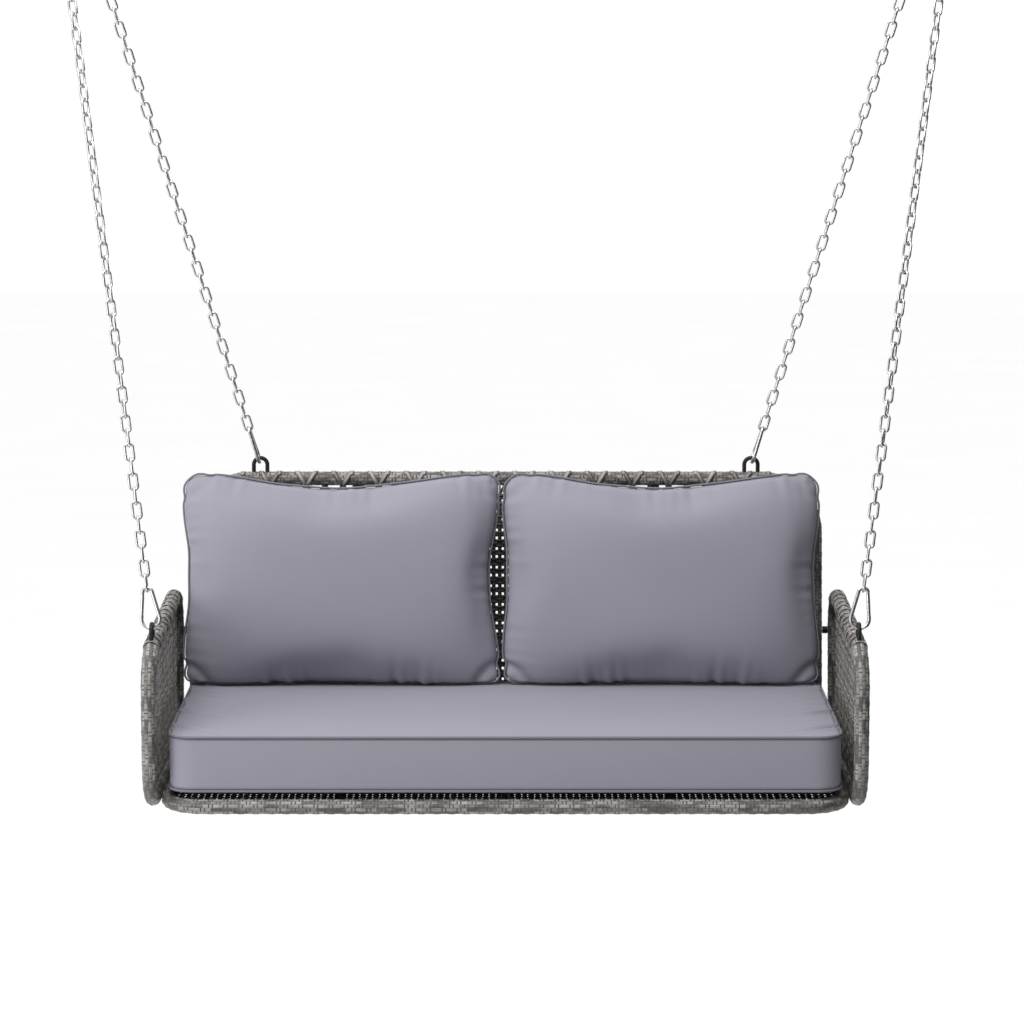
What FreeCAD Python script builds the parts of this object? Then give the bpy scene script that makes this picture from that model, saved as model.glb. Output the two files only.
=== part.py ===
"""Two-seat wicker porch swing hung by four chains from two ceiling plates.

The seat frame, the back frame and the two arm panels are bent steel tubes wrapped and
filled with flat rattan strand.  They are bolted together through their tubes.  Each
corner has a welded eye, a snap hook and a chain.  The two chains of a side meet on one
more snap hook, which hangs from a ceiling plate.  Three cushions lie loose on the seat.

Lengths are millimetres.  The seat is drawn with X to the right of someone facing it,
Y from its front to its back and Z up from the underside of its rails, so a place is
V(x, y, z).  The last step moves it all, to put the origin on the ceiling, midway
between the two plates.  The right side is drawn, and the left is its mirror image.
"""
import FreeCAD, Part
import math
import os

V = FreeCAD.Vector

# ---- driving dimensions: the whole swing
WIDTH = 1300.0              # across the wrapped arm panels
SEAT_DEPTH = 541.0          # seat rails, front to back, with their wrap
BACK_HEIGHT = 512.0         # bottom rail to top rail of the back, straight up
BACK_LEAN = 7.8             # degrees from upright
ARM_FRONT_HEIGHT = 302.0    # top of an arm panel above its straight front tube
ARM_SLOPE = 2.4             # degrees that the arm rises towards the back
HOOK_SPACING = 1670.0       # between the two ceiling hooks
SEAT_DROP = 1900.0          # ceiling to the underside of the seat rails
HANG_Y = 386.0              # hooks behind the seat's front: straight above the balance point

# ---- tubes and strand
TUBE_R = 12.5
TUBE_WALL = 1.5
STRAND = 1.4                # thickness of the strand wrapped round the tubes
WRAP_GAP = 0.1              # strand to tube
BAR_R = 8.0                 # seat crossbars
STIFFENER_R = 7.0           # uprights of the back
BAR_WALL = 1.2
CROSSBAR_X = (-300.0, 0.0, 300.0)
STIFFENER_X = (-290.0, 290.0)
RAIL_GAP = 0.6              # between the wraps of two rails bolted side by side
BACK_SIDE_GAP = 10.0        # between the wraps of the back and of an arm, filled by spacers
SEAT_CORNER_R = 70.0
BACK_TOP_R = 104.0
BACK_BOTTOM_R = 60.0
ARM_FRONT_BOTTOM_R = 80.0
ARM_FRONT_TOP_R = 76.0
ARM_REAR_TOP_R = 62.0
ARM_REAR_BOTTOM_R = 60.0
DECK_THICKNESS = 3.0
WEAVE_THICKNESS = 5.0
BACK_WEAVE_BEHIND = 1.0     # rear of the woven back, behind the tube's middle
ARM_WEAVE_THICKNESS = 6.0
WEAVE_GAP = 0.2             # woven panel to the wrapped tube round it
BAR_SEAT = 0.1              # bar to the woven panel that it backs

# ---- fasteners
BOLT_R = 3.0
BOLT_HEAD_R = 6.0
BOLT_HEAD_H = 4.0
SOCKET_R = 2.4
SOCKET_DEPTH = 2.2
BOLT_HOLE_R = 3.3
INSERT_R = 4.5
INSERT_LENGTH = 14.0
THREAD_GAP = 0.05
INSERT_GAP = 0.1
HEAD_GAP = 0.1
BOLT_TIP = 2.0              # bolt end past its insert
SPACER_R = 7.0
SIDE_BOLT_Y = (130.0, 410.0)
REAR_BOLT_X = (-400.0, -150.0, 150.0, 400.0)
BACK_BOLT_Z = (90.0, 236.0)

# ---- eyes, snap hooks and chain
EYE_ROD_R = 4.0
EYE_R = 13.0                # centreline of the half ring
EYE_LEG = 13.0              # straight leg, from the wrap's surface to the half ring
FRONT_EYE_Y = 95.0
REAR_EYE_X = 474.0
HOOK_WIRE_R = 3.5
HOOK_LENGTH = 80.0
HOOK_WIDE_R = 16.5          # centreline of the wide end
HOOK_NARROW_R = 8.5         # centreline of the narrow end
GATE_R = 3.2
GATE_SPAN = 36.0            # pin to the gate's free end
GATE_END = 3.0              # pin to the gate's pinned end
NOSE_GAP = 0.3              # gate's free end to the hook's nose
HINGE_FACE = 4.6            # pin to the end of the hook's wire
HINGE_STUB = 0.5            # straight wire between the narrow end's bend and that end
TONGUE_T = 2.2
TONGUE_W = 4.8
TONGUE_REACH = 2.2          # tongue past the pin
NOSE_REACH = 3.5
SLOT_PLAY = 0.2             # each side of a tongue in its slot
PIN_SLOT_DEPTH = 4.5
NOSE_SLOT_DEPTH = 4.2
PIN_R = 1.0
PIN_RUNNING = 0.05
PIN_PRESS = 0.01
PIN_RECESS = 0.2            # each end of the pin, below the gate's surface
SPRING_R = 1.5
SPRING_HOLE = 0.8
SPRING_LENGTH = 12.0
PLUNGER_LENGTH = 3.0
SPRING_BORE_GAP = 0.1
LINK_WIRE_R = 2.5
LINK_INSIDE_LENGTH = 27.0
LINK_INSIDE_WIDTH = 10.0
SEAT_GAP = 0.2              # between two rods that hang in one another
SLANT_SEAT = 0.75           # more room where a link hangs aslant on a hook's bend
HOOK_LINK_SPREAD = 5.0      # each chain's last link, from the middle of the upper hook

# ---- ceiling plates
PLATE_X = 50.0
PLATE_Y = 90.0
PLATE_T = 5.0
PLATE_CORNER_R = 10.0
PLATE_HOLE_R = 3.3
PLATE_HOLE_SPACING = 60.0
LOOP_ROD_R = 4.0
LOOP_HALF_WIDTH = 18.0
LOOP_BEND_R = 8.0
LOOP_DROP = 32.0            # plate's underside to the middle of the loop's rod
PIVOT_GAP = 0.3             # hook to loop rod, all the way round its swing

# ---- cushions
COVER_T = 2.0
FILL_GAP = 0.2              # filling to cover
PIPING_R = 3.5
PIPING_GAP = 0.2
SEAT_CUSHION_FRONT = 8.0
SEAT_CUSHION_T = 120.0
SEAT_CUSHION_SIDE_GAP = 16.6    # to the arm's wrap
SEAT_CUSHION_CORNER_R = 45.0
SEAT_CUSHION_EDGE_R = 22.0
CUSHION_SEAT = 0.3          # soft piece to what it lies on
BACK_CUSHION_W = 585.0
BACK_CUSHION_H = 386.0
BACK_CUSHION_T = 140.0
BACK_CUSHION_EDGE_R = 48.0
BACK_CUSHION_CORNER_R = 40.0
BACK_CUSHION_SPLIT = 14.0   # between the two back cushions' pipings

# ---- drawing
SAME_POINT = 1e-6           # closer than this, two points are one
CUT_OVER = 1.0              # how far a cutting tool runs past what it cuts

# ---- sizes that follow
WRAP_R = TUBE_R + WRAP_GAP + STRAND
ARM_X = WIDTH / 2 - WRAP_R
SEAT_X = ARM_X - 2 * WRAP_R - RAIL_GAP
BACK_X = ARM_X - 2 * WRAP_R - BACK_SIDE_GAP
RAIL_Z = WRAP_R
DECK_Z = RAIL_Z + BOLT_HEAD_R       # underside of the deck, clear of the bolts' heads
SEAT_FRONT_Y = WRAP_R
SEAT_REAR_Y = SEAT_DEPTH - WRAP_R
LEAN = math.radians(BACK_LEAN)
UP_BACK = V(0, math.sin(LEAN), math.cos(LEAN))          # up along the back
OUT_BACK = V(0, -math.cos(LEAN), math.sin(LEAN))        # out of the back's front face
BACK_FOOT = V(0, SEAT_REAR_Y + 2 * WRAP_R + RAIL_GAP, RAIL_Z)
BACK_LENGTH = BACK_HEIGHT / math.cos(LEAN)
PIVOT_Z = SEAT_DROP - PLATE_T - LOOP_DROP
HOOK_SPAN = HOOK_LENGTH - 2 * HOOK_WIRE_R               # between the two ends' centrelines
HANG_SEAT = HOOK_WIRE_R + LINK_WIRE_R + SEAT_GAP
LINK_BEND_R = LINK_INSIDE_WIDTH / 2 + LINK_WIRE_R
LINK_HALF = LINK_INSIDE_LENGTH / 2 + LINK_WIRE_R
DECK_TOP = DECK_Z + DECK_THICKNESS
SEAT_CUSHION_Z = 2 * WRAP_R + CUSHION_SEAT
SEAT_CUSHION_TOP = SEAT_CUSHION_Z + SEAT_CUSHION_T


# ---- shared shapes
def path_of(corners, radii, closed=True):
    """A wire of straight runs joined by tangent arcs, one radius to each corner."""
    bends = []
    for i, (corner, radius) in enumerate(zip(corners, radii)):
        if radius == 0:
            bends.append((corner, None, corner))
            continue
        before = (corners[i - 1] - corner).normalize()
        after = (corners[(i + 1) % len(corners)] - corner).normalize()
        half = before.getAngle(after) / 2
        reach = radius / math.tan(half)
        centre = corner + (before + after).normalize() * (radius / math.sin(half))
        middle = centre + (corner - centre).normalize() * radius
        bends.append((corner + before * reach, middle, corner + after * reach))
    edges = []
    for i, (start, middle, end) in enumerate(bends):
        apart = bends[i - 1][2].distanceToPoint(start) > SAME_POINT
        if apart and (closed or i > 0):
            edges.append(Part.LineSegment(bends[i - 1][2], start).toShape())
        if middle is not None:
            edges.append(Part.Arc(start, middle, end).toShape())
    return Part.Wire(edges)


def rod(path, radius):
    """A round bar along a wire."""
    first = path.OrderedEdges[0]
    start = first.valueAt(first.FirstParameter)
    direction = first.tangentAt(first.FirstParameter)
    profile = Part.Wire(Part.Circle(start, direction, radius).toShape())
    return path.makePipeShell([profile], True, False)


def pipe(path, outer, inner):
    """A round tube along a wire."""
    return rod(path, outer).cut(rod(path, inner))


def wrap_round(path):
    """The layer of strand round a frame tube."""
    return pipe(path, WRAP_R, TUBE_R + WRAP_GAP)


def bar(start, end, radius):
    """A straight round bar between two points."""
    return Part.makeCylinder(radius, (end - start).Length, start, end - start)


def hollow_bar(start, end, outer, inner):
    """A straight round tube between two points."""
    return bar(start, end, outer).cut(bar(start, end, inner))


def slab(path, direction, thickness):
    """A flat panel with a closed wire as its outline."""
    return Part.Face(path).extrude(direction * thickness)


def mirrored(shape):
    """The same piece on the left side."""
    return shape.mirror(V(0, 0, 0), V(1, 0, 0))


def group(shapes):
    """Separate solids kept in one node."""
    return Part.Compound([solid for shape in shapes for solid in shape.Solids])


def moved_frame(origin, x_axis, y_axis):
    """The placement that carries the drawing plane to an origin and two directions."""
    z_axis = x_axis.cross(y_axis)
    matrix = FreeCAD.Matrix(
        x_axis.x, y_axis.x, z_axis.x, origin.x,
        x_axis.y, y_axis.y, z_axis.y, origin.y,
        x_axis.z, y_axis.z, z_axis.z, origin.z,
        0, 0, 0, 1)
    return FreeCAD.Placement(matrix)


def placed(shape, placement):
    """A copy of a shape at a placement."""
    copy = shape.copy()
    copy.Placement = placement.multiply(copy.Placement)
    return copy


# ---- outlines of the four frames
def seat_path(z=None):
    """The seat rail's centreline, or its outline at another height."""
    z = RAIL_Z if z is None else z
    corners = [V(-SEAT_X, SEAT_FRONT_Y, z), V(SEAT_X, SEAT_FRONT_Y, z),
               V(SEAT_X, SEAT_REAR_Y, z), V(-SEAT_X, SEAT_REAR_Y, z)]
    return path_of(corners, [SEAT_CORNER_R] * 4)


def back_point(x, up, out=0.0):
    """A place on the back: along it, up it and out of its front face."""
    return BACK_FOOT + V(x, 0, 0) + UP_BACK * up + OUT_BACK * out


def back_path(out=0.0):
    """The back tube's centreline, in the leaning plane of the back."""
    corners = [back_point(-BACK_X, 0, out), back_point(BACK_X, 0, out),
               back_point(BACK_X, BACK_LENGTH, out), back_point(-BACK_X, BACK_LENGTH, out)]
    return path_of(corners, [BACK_BOTTOM_R, BACK_BOTTOM_R, BACK_TOP_R, BACK_TOP_R])


def arm_top_z(y):
    """Height of the arm's centreline at a depth."""
    rise = (y - SEAT_FRONT_Y) * math.tan(math.radians(ARM_SLOPE))
    return ARM_FRONT_HEIGHT - WRAP_R + rise


def arm_path(x):
    """The arm tube's centreline: upright at the front, leaning with the back behind."""
    foot = BACK_FOOT.y
    slope = math.tan(math.radians(ARM_SLOPE))
    lean = math.tan(LEAN)
    front_top = arm_top_z(SEAT_FRONT_Y)
    run = (foot - SEAT_FRONT_Y + lean * (front_top - RAIL_Z)) / (1 - lean * slope)
    corners = [V(x, foot, RAIL_Z), V(x, SEAT_FRONT_Y, RAIL_Z),
               V(x, SEAT_FRONT_Y, front_top),
               V(x, SEAT_FRONT_Y + run, front_top + run * slope)]
    radii = [ARM_REAR_BOTTOM_R, ARM_FRONT_BOTTOM_R, ARM_FRONT_TOP_R, ARM_REAR_TOP_R]
    return path_of(corners, radii)


# ---- bolts
def bolt_sites():
    """Head seat, direction and distance between the two tubes' middles, for each bolt."""
    sites = []
    for side in (-1, 1):
        for y in SIDE_BOLT_Y:
            sites.append((V(side * SEAT_X, y, RAIL_Z), V(side, 0, 0), ARM_X - SEAT_X))
    for x in REAR_BOLT_X:
        sites.append((V(x, SEAT_REAR_Y, RAIL_Z), V(0, 1, 0), BACK_FOOT.y - SEAT_REAR_Y))
    return sites


def back_bolt_sites():
    """The longer bolts, from the back's tube to the arm's across a spacer."""
    sites = []
    for side in (-1, 1):
        for z in BACK_BOLT_Z:
            up = (z - RAIL_Z) / math.cos(LEAN)
            middle = back_point(side * BACK_X, up)
            sites.append((middle, V(side, 0, 0), ARM_X - BACK_X))
    return sites


def bolt(middle, way, distance):
    """A button-head bolt: its head bears on the first tube, its tip ends in the second."""
    seat = middle - way * (TUBE_R + HEAD_GAP)
    tip = middle + way * (distance - TUBE_R + INSERT_LENGTH + BOLT_TIP)
    head = bar(seat - way * BOLT_HEAD_H, seat, BOLT_HEAD_R)
    socket = bar(seat - way * BOLT_HEAD_H, seat - way * (BOLT_HEAD_H - SOCKET_DEPTH), SOCKET_R)
    return head.cut(socket).fuse(bar(seat, tip, BOLT_R)).removeSplitter()


def insert(middle, way, distance):
    """The threaded insert set in the near wall of the second tube."""
    start = middle + way * (distance - TUBE_R)
    end = start + way * INSERT_LENGTH
    return hollow_bar(start, end, INSERT_R, BOLT_R + THREAD_GAP)


def spacer(middle, way, distance):
    """The sleeve that keeps the back's wrap and the arm's wrap apart."""
    start = middle + way * (WRAP_R + HEAD_GAP)
    end = middle + way * (distance - WRAP_R - HEAD_GAP)
    return hollow_bar(start, end, SPACER_R, BOLT_HOLE_R)


def near_holes(sites):
    """Room for the heads and shanks, in the tube and wrap under the heads."""
    tools = []
    for middle, way, distance in sites:
        outside = middle - way * (WRAP_R + BOLT_HEAD_H)
        tools.append(bar(outside, middle + way * (WRAP_R + CUT_OVER), BOLT_HOLE_R))
    return tools


def head_recesses(sites):
    """Room for the heads in the wrap."""
    tools = []
    for middle, way, distance in sites:
        outside = middle - way * (WRAP_R + BOLT_HEAD_H)
        inside = middle - way * (TUBE_R + HEAD_GAP - BOLT_R)
        tools.append(bar(outside, inside, BOLT_HEAD_R + BOLT_HOLE_R - BOLT_R))
    return tools


def far_holes(sites):
    """Room for the inserts, in the near wall of the second tube and its wrap."""
    tools = []
    for middle, way, distance in sites:
        start = middle + way * (distance - WRAP_R - CUT_OVER)
        tools.append(bar(start, middle + way * distance, INSERT_R + INSERT_GAP))
    return tools


# ---- eyes
def eye(foot, across):
    """An upside-down U of rod, its legs ending in the tube below it."""
    top = foot + V(0, 0, WRAP_R + EYE_LEG)
    corners = [foot - across * EYE_R, top + V(0, 0, EYE_R) - across * EYE_R,
               top + V(0, 0, EYE_R) + across * EYE_R, foot + across * EYE_R]
    return rod(path_of(corners, [0, EYE_R, EYE_R, 0], closed=False), EYE_ROD_R)


def eye_legs(foot, across):
    """Room in the wrap for an eye's two legs."""
    legs = []
    for side in (-1, 1):
        leg = foot + across * (side * EYE_R)
        legs.append(bar(leg, leg + V(0, 0, 2 * WRAP_R), EYE_ROD_R + WRAP_GAP))
    return legs


def front_eye_foot():
    """Where a front eye stands on the arm tube's centreline."""
    return V(ARM_X, FRONT_EYE_Y, arm_top_z(FRONT_EYE_Y))


def rear_eye_foot():
    """Where a rear eye stands on the back's top rail."""
    return back_point(REAR_EYE_X, BACK_LENGTH)


def eye_hook_point(foot, across, target):
    """The middle of a hook's wire where it pulls up under an eye towards the target."""
    centre = foot + V(0, 0, WRAP_R + EYE_LEG)
    pull = target - centre
    in_plane = across * pull.dot(across) + V(0, 0, pull.z)
    return centre + in_plane.normalize() * (EYE_R - EYE_ROD_R - HOOK_WIRE_R - SEAT_GAP)


# ---- snap hooks, drawn flat: X to the gate's side, Y from the wide end to the narrow end
def hook_tangent():
    """Angle of the hook's two long sides, and where they leave its two round ends."""
    span = HOOK_SPAN - HOOK_WIDE_R - HOOK_NARROW_R
    slope = math.asin((HOOK_WIDE_R - HOOK_NARROW_R) / span)
    out = V(math.cos(slope), math.sin(slope), 0)
    wide = V(0, HOOK_WIDE_R, 0)
    narrow = V(0, HOOK_SPAN - HOOK_NARROW_R, 0)
    return wide + out * HOOK_WIDE_R, narrow + out * HOOK_NARROW_R, wide, narrow


def gate_axes():
    """The gate's pin, the way along it to its free end, and the way square to it."""
    low, high, wide, narrow = hook_tangent()
    along = (low - high).normalize()
    pin = high + along * (HINGE_FACE + HINGE_STUB)
    outward = V(-along.y, along.x, 0)
    return pin, along, outward


def tongue(start, along, outward, length):
    """A flat tongue as thick as the slots of the gate allow."""
    box = Part.makeBox(TONGUE_W, TONGUE_T, length)
    box.translate(V(-TONGUE_W / 2, -TONGUE_T / 2, 0))
    return placed(box, moved_frame(start, outward, along.cross(outward)))


def slot(start, along, outward, length):
    """The gate's slot for a tongue, open on both sides."""
    width = TONGUE_T + 2 * SLOT_PLAY
    box = Part.makeBox(4 * GATE_R, width, length)
    box.translate(V(-2 * GATE_R, -width / 2, 0))
    return placed(box, moved_frame(start, outward, along.cross(outward)))


def hook_body():
    """The bent wire of a snap hook with its hinge tongue and nose tongue."""
    low, high, wide, narrow = hook_tangent()
    pin, along, outward = gate_axes()
    nose_face = pin + along * (GATE_SPAN + NOSE_GAP)
    hinge_face = pin - along * HINGE_FACE
    low_left = V(-low.x, low.y, 0)
    high_left = V(-high.x, high.y, 0)
    edges = [
        Part.LineSegment(hinge_face, high).toShape(),
        Part.Arc(high, narrow + V(0, HOOK_NARROW_R, 0), high_left).toShape(),
        Part.LineSegment(high_left, low_left).toShape(),
        Part.Arc(low_left, wide - V(0, HOOK_WIDE_R, 0), low).toShape(),
        Part.LineSegment(low, nose_face).toShape(),
    ]
    wire = rod(Part.Wire(edges), HOOK_WIRE_R)
    hinge = tongue(hinge_face, along, outward, HINGE_FACE + TONGUE_REACH)
    nose = tongue(nose_face - along * NOSE_REACH, along, outward, NOSE_REACH)
    body = wire.fuse([hinge, nose]).removeSplitter()
    return body.cut(pin_rod(PIN_R + PIN_PRESS, 2 * GATE_R))


def pin_rod(radius, length):
    """A round pin or hole square to the hook's plane, at the gate's hinge."""
    pin, along, outward = gate_axes()
    return bar(pin - V(0, 0, length / 2), pin + V(0, 0, length / 2), radius)


def gate():
    """The hook's gate: a rod slotted at both ends, bored for its spring."""
    pin, along, outward = gate_axes()
    body = bar(pin - along * GATE_END, pin + along * GATE_SPAN, GATE_R)
    pin_slot = slot(pin - along * (GATE_END + CUT_OVER), along, outward,
                    GATE_END + CUT_OVER + PIN_SLOT_DEPTH)
    nose_slot = slot(pin + along * (GATE_SPAN - NOSE_SLOT_DEPTH), along, outward,
                     NOSE_SLOT_DEPTH + CUT_OVER)
    bore_start = pin + along * PIN_SLOT_DEPTH
    bore_end = bore_start + along * (SPRING_LENGTH + PLUNGER_LENGTH)
    bore = bar(bore_start, bore_end, SPRING_R + SPRING_BORE_GAP)
    pin_hole = pin_rod(PIN_R + PIN_RUNNING, 3 * GATE_R)
    return body.cut([pin_slot, nose_slot, bore, pin_hole])


def gate_spring():
    """The spring's envelope and its plunger, in the gate's bore."""
    pin, along, outward = gate_axes()
    start = pin + along * (PIN_SLOT_DEPTH + SLOT_PLAY)
    plunger = bar(start, start + along * (PLUNGER_LENGTH - SLOT_PLAY), SPRING_R)
    spring_start = pin + along * (PIN_SLOT_DEPTH + PLUNGER_LENGTH)
    spring = hollow_bar(spring_start, spring_start + along * SPRING_LENGTH, SPRING_R, SPRING_HOLE)
    return group([plunger, spring])


# ---- chain
def link():
    """One chain link, lying along Y with its flat side towards Z."""
    straight = LINK_INSIDE_LENGTH - LINK_INSIDE_WIDTH
    half = LINK_HALF
    edges = [
        Part.LineSegment(V(LINK_BEND_R, -straight / 2, 0), V(LINK_BEND_R, straight / 2, 0)),
        Part.Arc(V(LINK_BEND_R, straight / 2, 0), V(0, half, 0), V(-LINK_BEND_R, straight / 2, 0)),
        Part.LineSegment(V(-LINK_BEND_R, straight / 2, 0), V(-LINK_BEND_R, -straight / 2, 0)),
        Part.Arc(V(-LINK_BEND_R, -straight / 2, 0), V(0, -half, 0),
                 V(LINK_BEND_R, -straight / 2, 0)),
    ]
    return rod(Part.Wire([edge.toShape() for edge in edges]), LINK_WIRE_R)


def chain(low, high, first_normal, last_normal):
    """Links from a lower hook's narrow end to the upper hook, the twist shared by all."""
    way = (high - low).normalize()
    first = HOOK_SPAN - HANG_SEAT + LINK_HALF
    last = (high - low).Length + HANG_SEAT + SLANT_SEAT - LINK_HALF
    pitch = LINK_INSIDE_LENGTH - SEAT_GAP
    count = math.ceil((last - first) / pitch) + 1
    step = (last - first) / (count - 1)
    start = first_normal - way * first_normal.dot(way)
    start.normalize()
    square = way.cross(start)
    wanted = math.atan2(last_normal.dot(square), last_normal.dot(start))
    spare = wanted - (count - 1) * math.pi / 2
    spare = (spare + math.pi / 2) % math.pi - math.pi / 2
    turn = math.pi / 2 + spare / (count - 1)
    base = link()
    links = []
    for i in range(count):
        normal = start * math.cos(i * turn) + square * math.sin(i * turn)
        centre = low + way * (first + i * step)
        links.append(placed(base, moved_frame(centre, way.cross(normal), way)))
    return Part.Compound(links)


# ---- cushions, drawn flat: X across, Y up or back, Z out of the visible face
def pad(width, depth, thickness, corner_r, edge_r):
    """A flat pad with round corners and round edges, centred on the origin."""
    x = width / 2
    y = depth / 2
    z = -thickness / 2
    corners = [V(-x, -y, z), V(x, -y, z), V(x, y, z), V(-x, y, z)]
    block = slab(path_of(corners, [corner_r] * 4), V(0, 0, 1), thickness)
    faces = sorted(block.Faces, key=lambda face: -face.Area)[:2]
    return block.makeFillet(edge_r, [edge for face in faces for edge in face.Edges])


def cover_and_fill(width, depth, thickness, corner_r, edge_r):
    """The sewn cover of a cushion, and the filling inside it."""
    def shrunk(by):
        return pad(width - 2 * by, depth - 2 * by, thickness - 2 * by, corner_r - by, edge_r - by)
    return shrunk(0).cut(shrunk(COVER_T)), shrunk(COVER_T + FILL_GAP)


def piping(width, depth, corner_r, z, out):
    """A closed cord round a cushion, at a height and a distance outside its sides."""
    x = width / 2 + out
    y = depth / 2 + out
    corners = [V(-x, -y, z), V(x, -y, z), V(x, y, z), V(-x, y, z)]
    return rod(path_of(corners, [corner_r + out] * 4), PIPING_R)


# ---- sub-parts, each in its place
parts = {}


def add(name, shape, place=None):
    """Keep a sub-part under its name."""
    parts[name] = shape if place is None else placed(shape, place)


def add_pair(name, shape):
    """Keep a right-hand sub-part and its left-hand mirror image."""
    parts[name.format("right")] = shape
    parts[name.format("left")] = mirrored(shape)


def add_seat():
    """The seat: rail, crossbars, wrap and woven deck."""
    rail = seat_path()
    outer = rod(rail, TUBE_R)
    low = DECK_Z - BAR_SEAT - BAR_R
    ends = [(V(x, SEAT_FRONT_Y, low), V(x, SEAT_REAR_Y, low)) for x in CROSSBAR_X]
    bars = [hollow_bar(a, b, BAR_R, BAR_R - BAR_WALL).cut(outer) for a, b in ends]
    sites = bolt_sites()
    frame = outer.cut([rod(rail, TUBE_R - TUBE_WALL)] + near_holes(sites))
    room = [bar(a, b, BAR_R + WRAP_GAP) for a, b in ends]
    wrap = wrap_round(rail).cut(room + near_holes(sites) + head_recesses(sites))
    deck = slab(seat_path(DECK_Z), V(0, 0, 1), DECK_THICKNESS)
    add("seat_frame", frame)
    add("seat_crossbars", group(bars))
    add("seat_rim_wrap", wrap)
    add("seat_deck", deck.cut(rod(rail, WRAP_R + WEAVE_GAP)))


def add_back():
    """The back: tube, uprights, wrap and woven panel."""
    rail = back_path()
    outer = rod(rail, TUBE_R)
    behind = -(BACK_WEAVE_BEHIND + BAR_SEAT + STIFFENER_R)
    ends = [(back_point(x, 0, behind), back_point(x, BACK_LENGTH, behind)) for x in STIFFENER_X]
    inner = STIFFENER_R - BAR_WALL
    bars = [hollow_bar(a, b, STIFFENER_R, inner).cut(outer) for a, b in ends]
    seat_side = [site for site in bolt_sites() if site[1].y > 0.5]
    arm_side = back_bolt_sites()
    holes = far_holes(seat_side) + near_holes(arm_side)
    room = [bar(a, b, STIFFENER_R + WRAP_GAP) for a, b in ends]
    for side in (-1, 1):
        foot = rear_eye_foot()
        foot.x *= side
        room += eye_legs(foot, V(1, 0, 0))
    weave = slab(back_path(-BACK_WEAVE_BEHIND), OUT_BACK, WEAVE_THICKNESS)
    add("back_frame", outer.cut([rod(rail, TUBE_R - TUBE_WALL)] + holes))
    add("back_stiffeners", group(bars))
    add("back_rim_wrap", wrap_round(rail).cut(room + holes + head_recesses(arm_side)))
    add("back_weave", weave.cut([rod(rail, WRAP_R + WEAVE_GAP)] + head_recesses(arm_side)))


def add_arms():
    """The two arm panels: tube, wrap and woven panel."""
    rail = arm_path(ARM_X)
    outer = rod(rail, TUBE_R)
    sites = [site for site in bolt_sites() + back_bolt_sites() if site[1].x > 0.5]
    holes = far_holes(sites)
    legs = eye_legs(front_eye_foot(), V(0, 1, 0))
    weave = slab(arm_path(ARM_X - ARM_WEAVE_THICKNESS / 2), V(1, 0, 0), ARM_WEAVE_THICKNESS)
    add_pair("{}_arm_frame", outer.cut([rod(rail, TUBE_R - TUBE_WALL)] + holes))
    add_pair("{}_arm_rim_wrap", wrap_round(rail).cut(holes + legs))
    add_pair("{}_arm_weave", weave.cut(rod(rail, WRAP_R + WEAVE_GAP)))


def add_fasteners():
    """The bolts, inserts and spacers that hold the four frames together."""
    short = bolt_sites()
    long = back_bolt_sites()
    add("frame_bolts", group([bolt(*site) for site in short]))
    add("back_bolts", group([bolt(*site) for site in long]))
    add("threaded_inserts", group([insert(*site) for site in short + long]))
    add("back_spacers", group([spacer(*site) for site in long]))


def add_hook(name, place):
    """A snap hook: bent wire, gate, gate pin and gate spring."""
    pin = pin_rod(PIN_R, 2 * GATE_R - 2 * PIN_RECESS)
    add_pair(name + "_hook", placed(hook_body(), place))
    add_pair(name + "_gate", placed(gate(), place))
    add_pair(name + "_gate_spring", placed(gate_spring(), place))
    pins.append(placed(pin, place))


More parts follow.
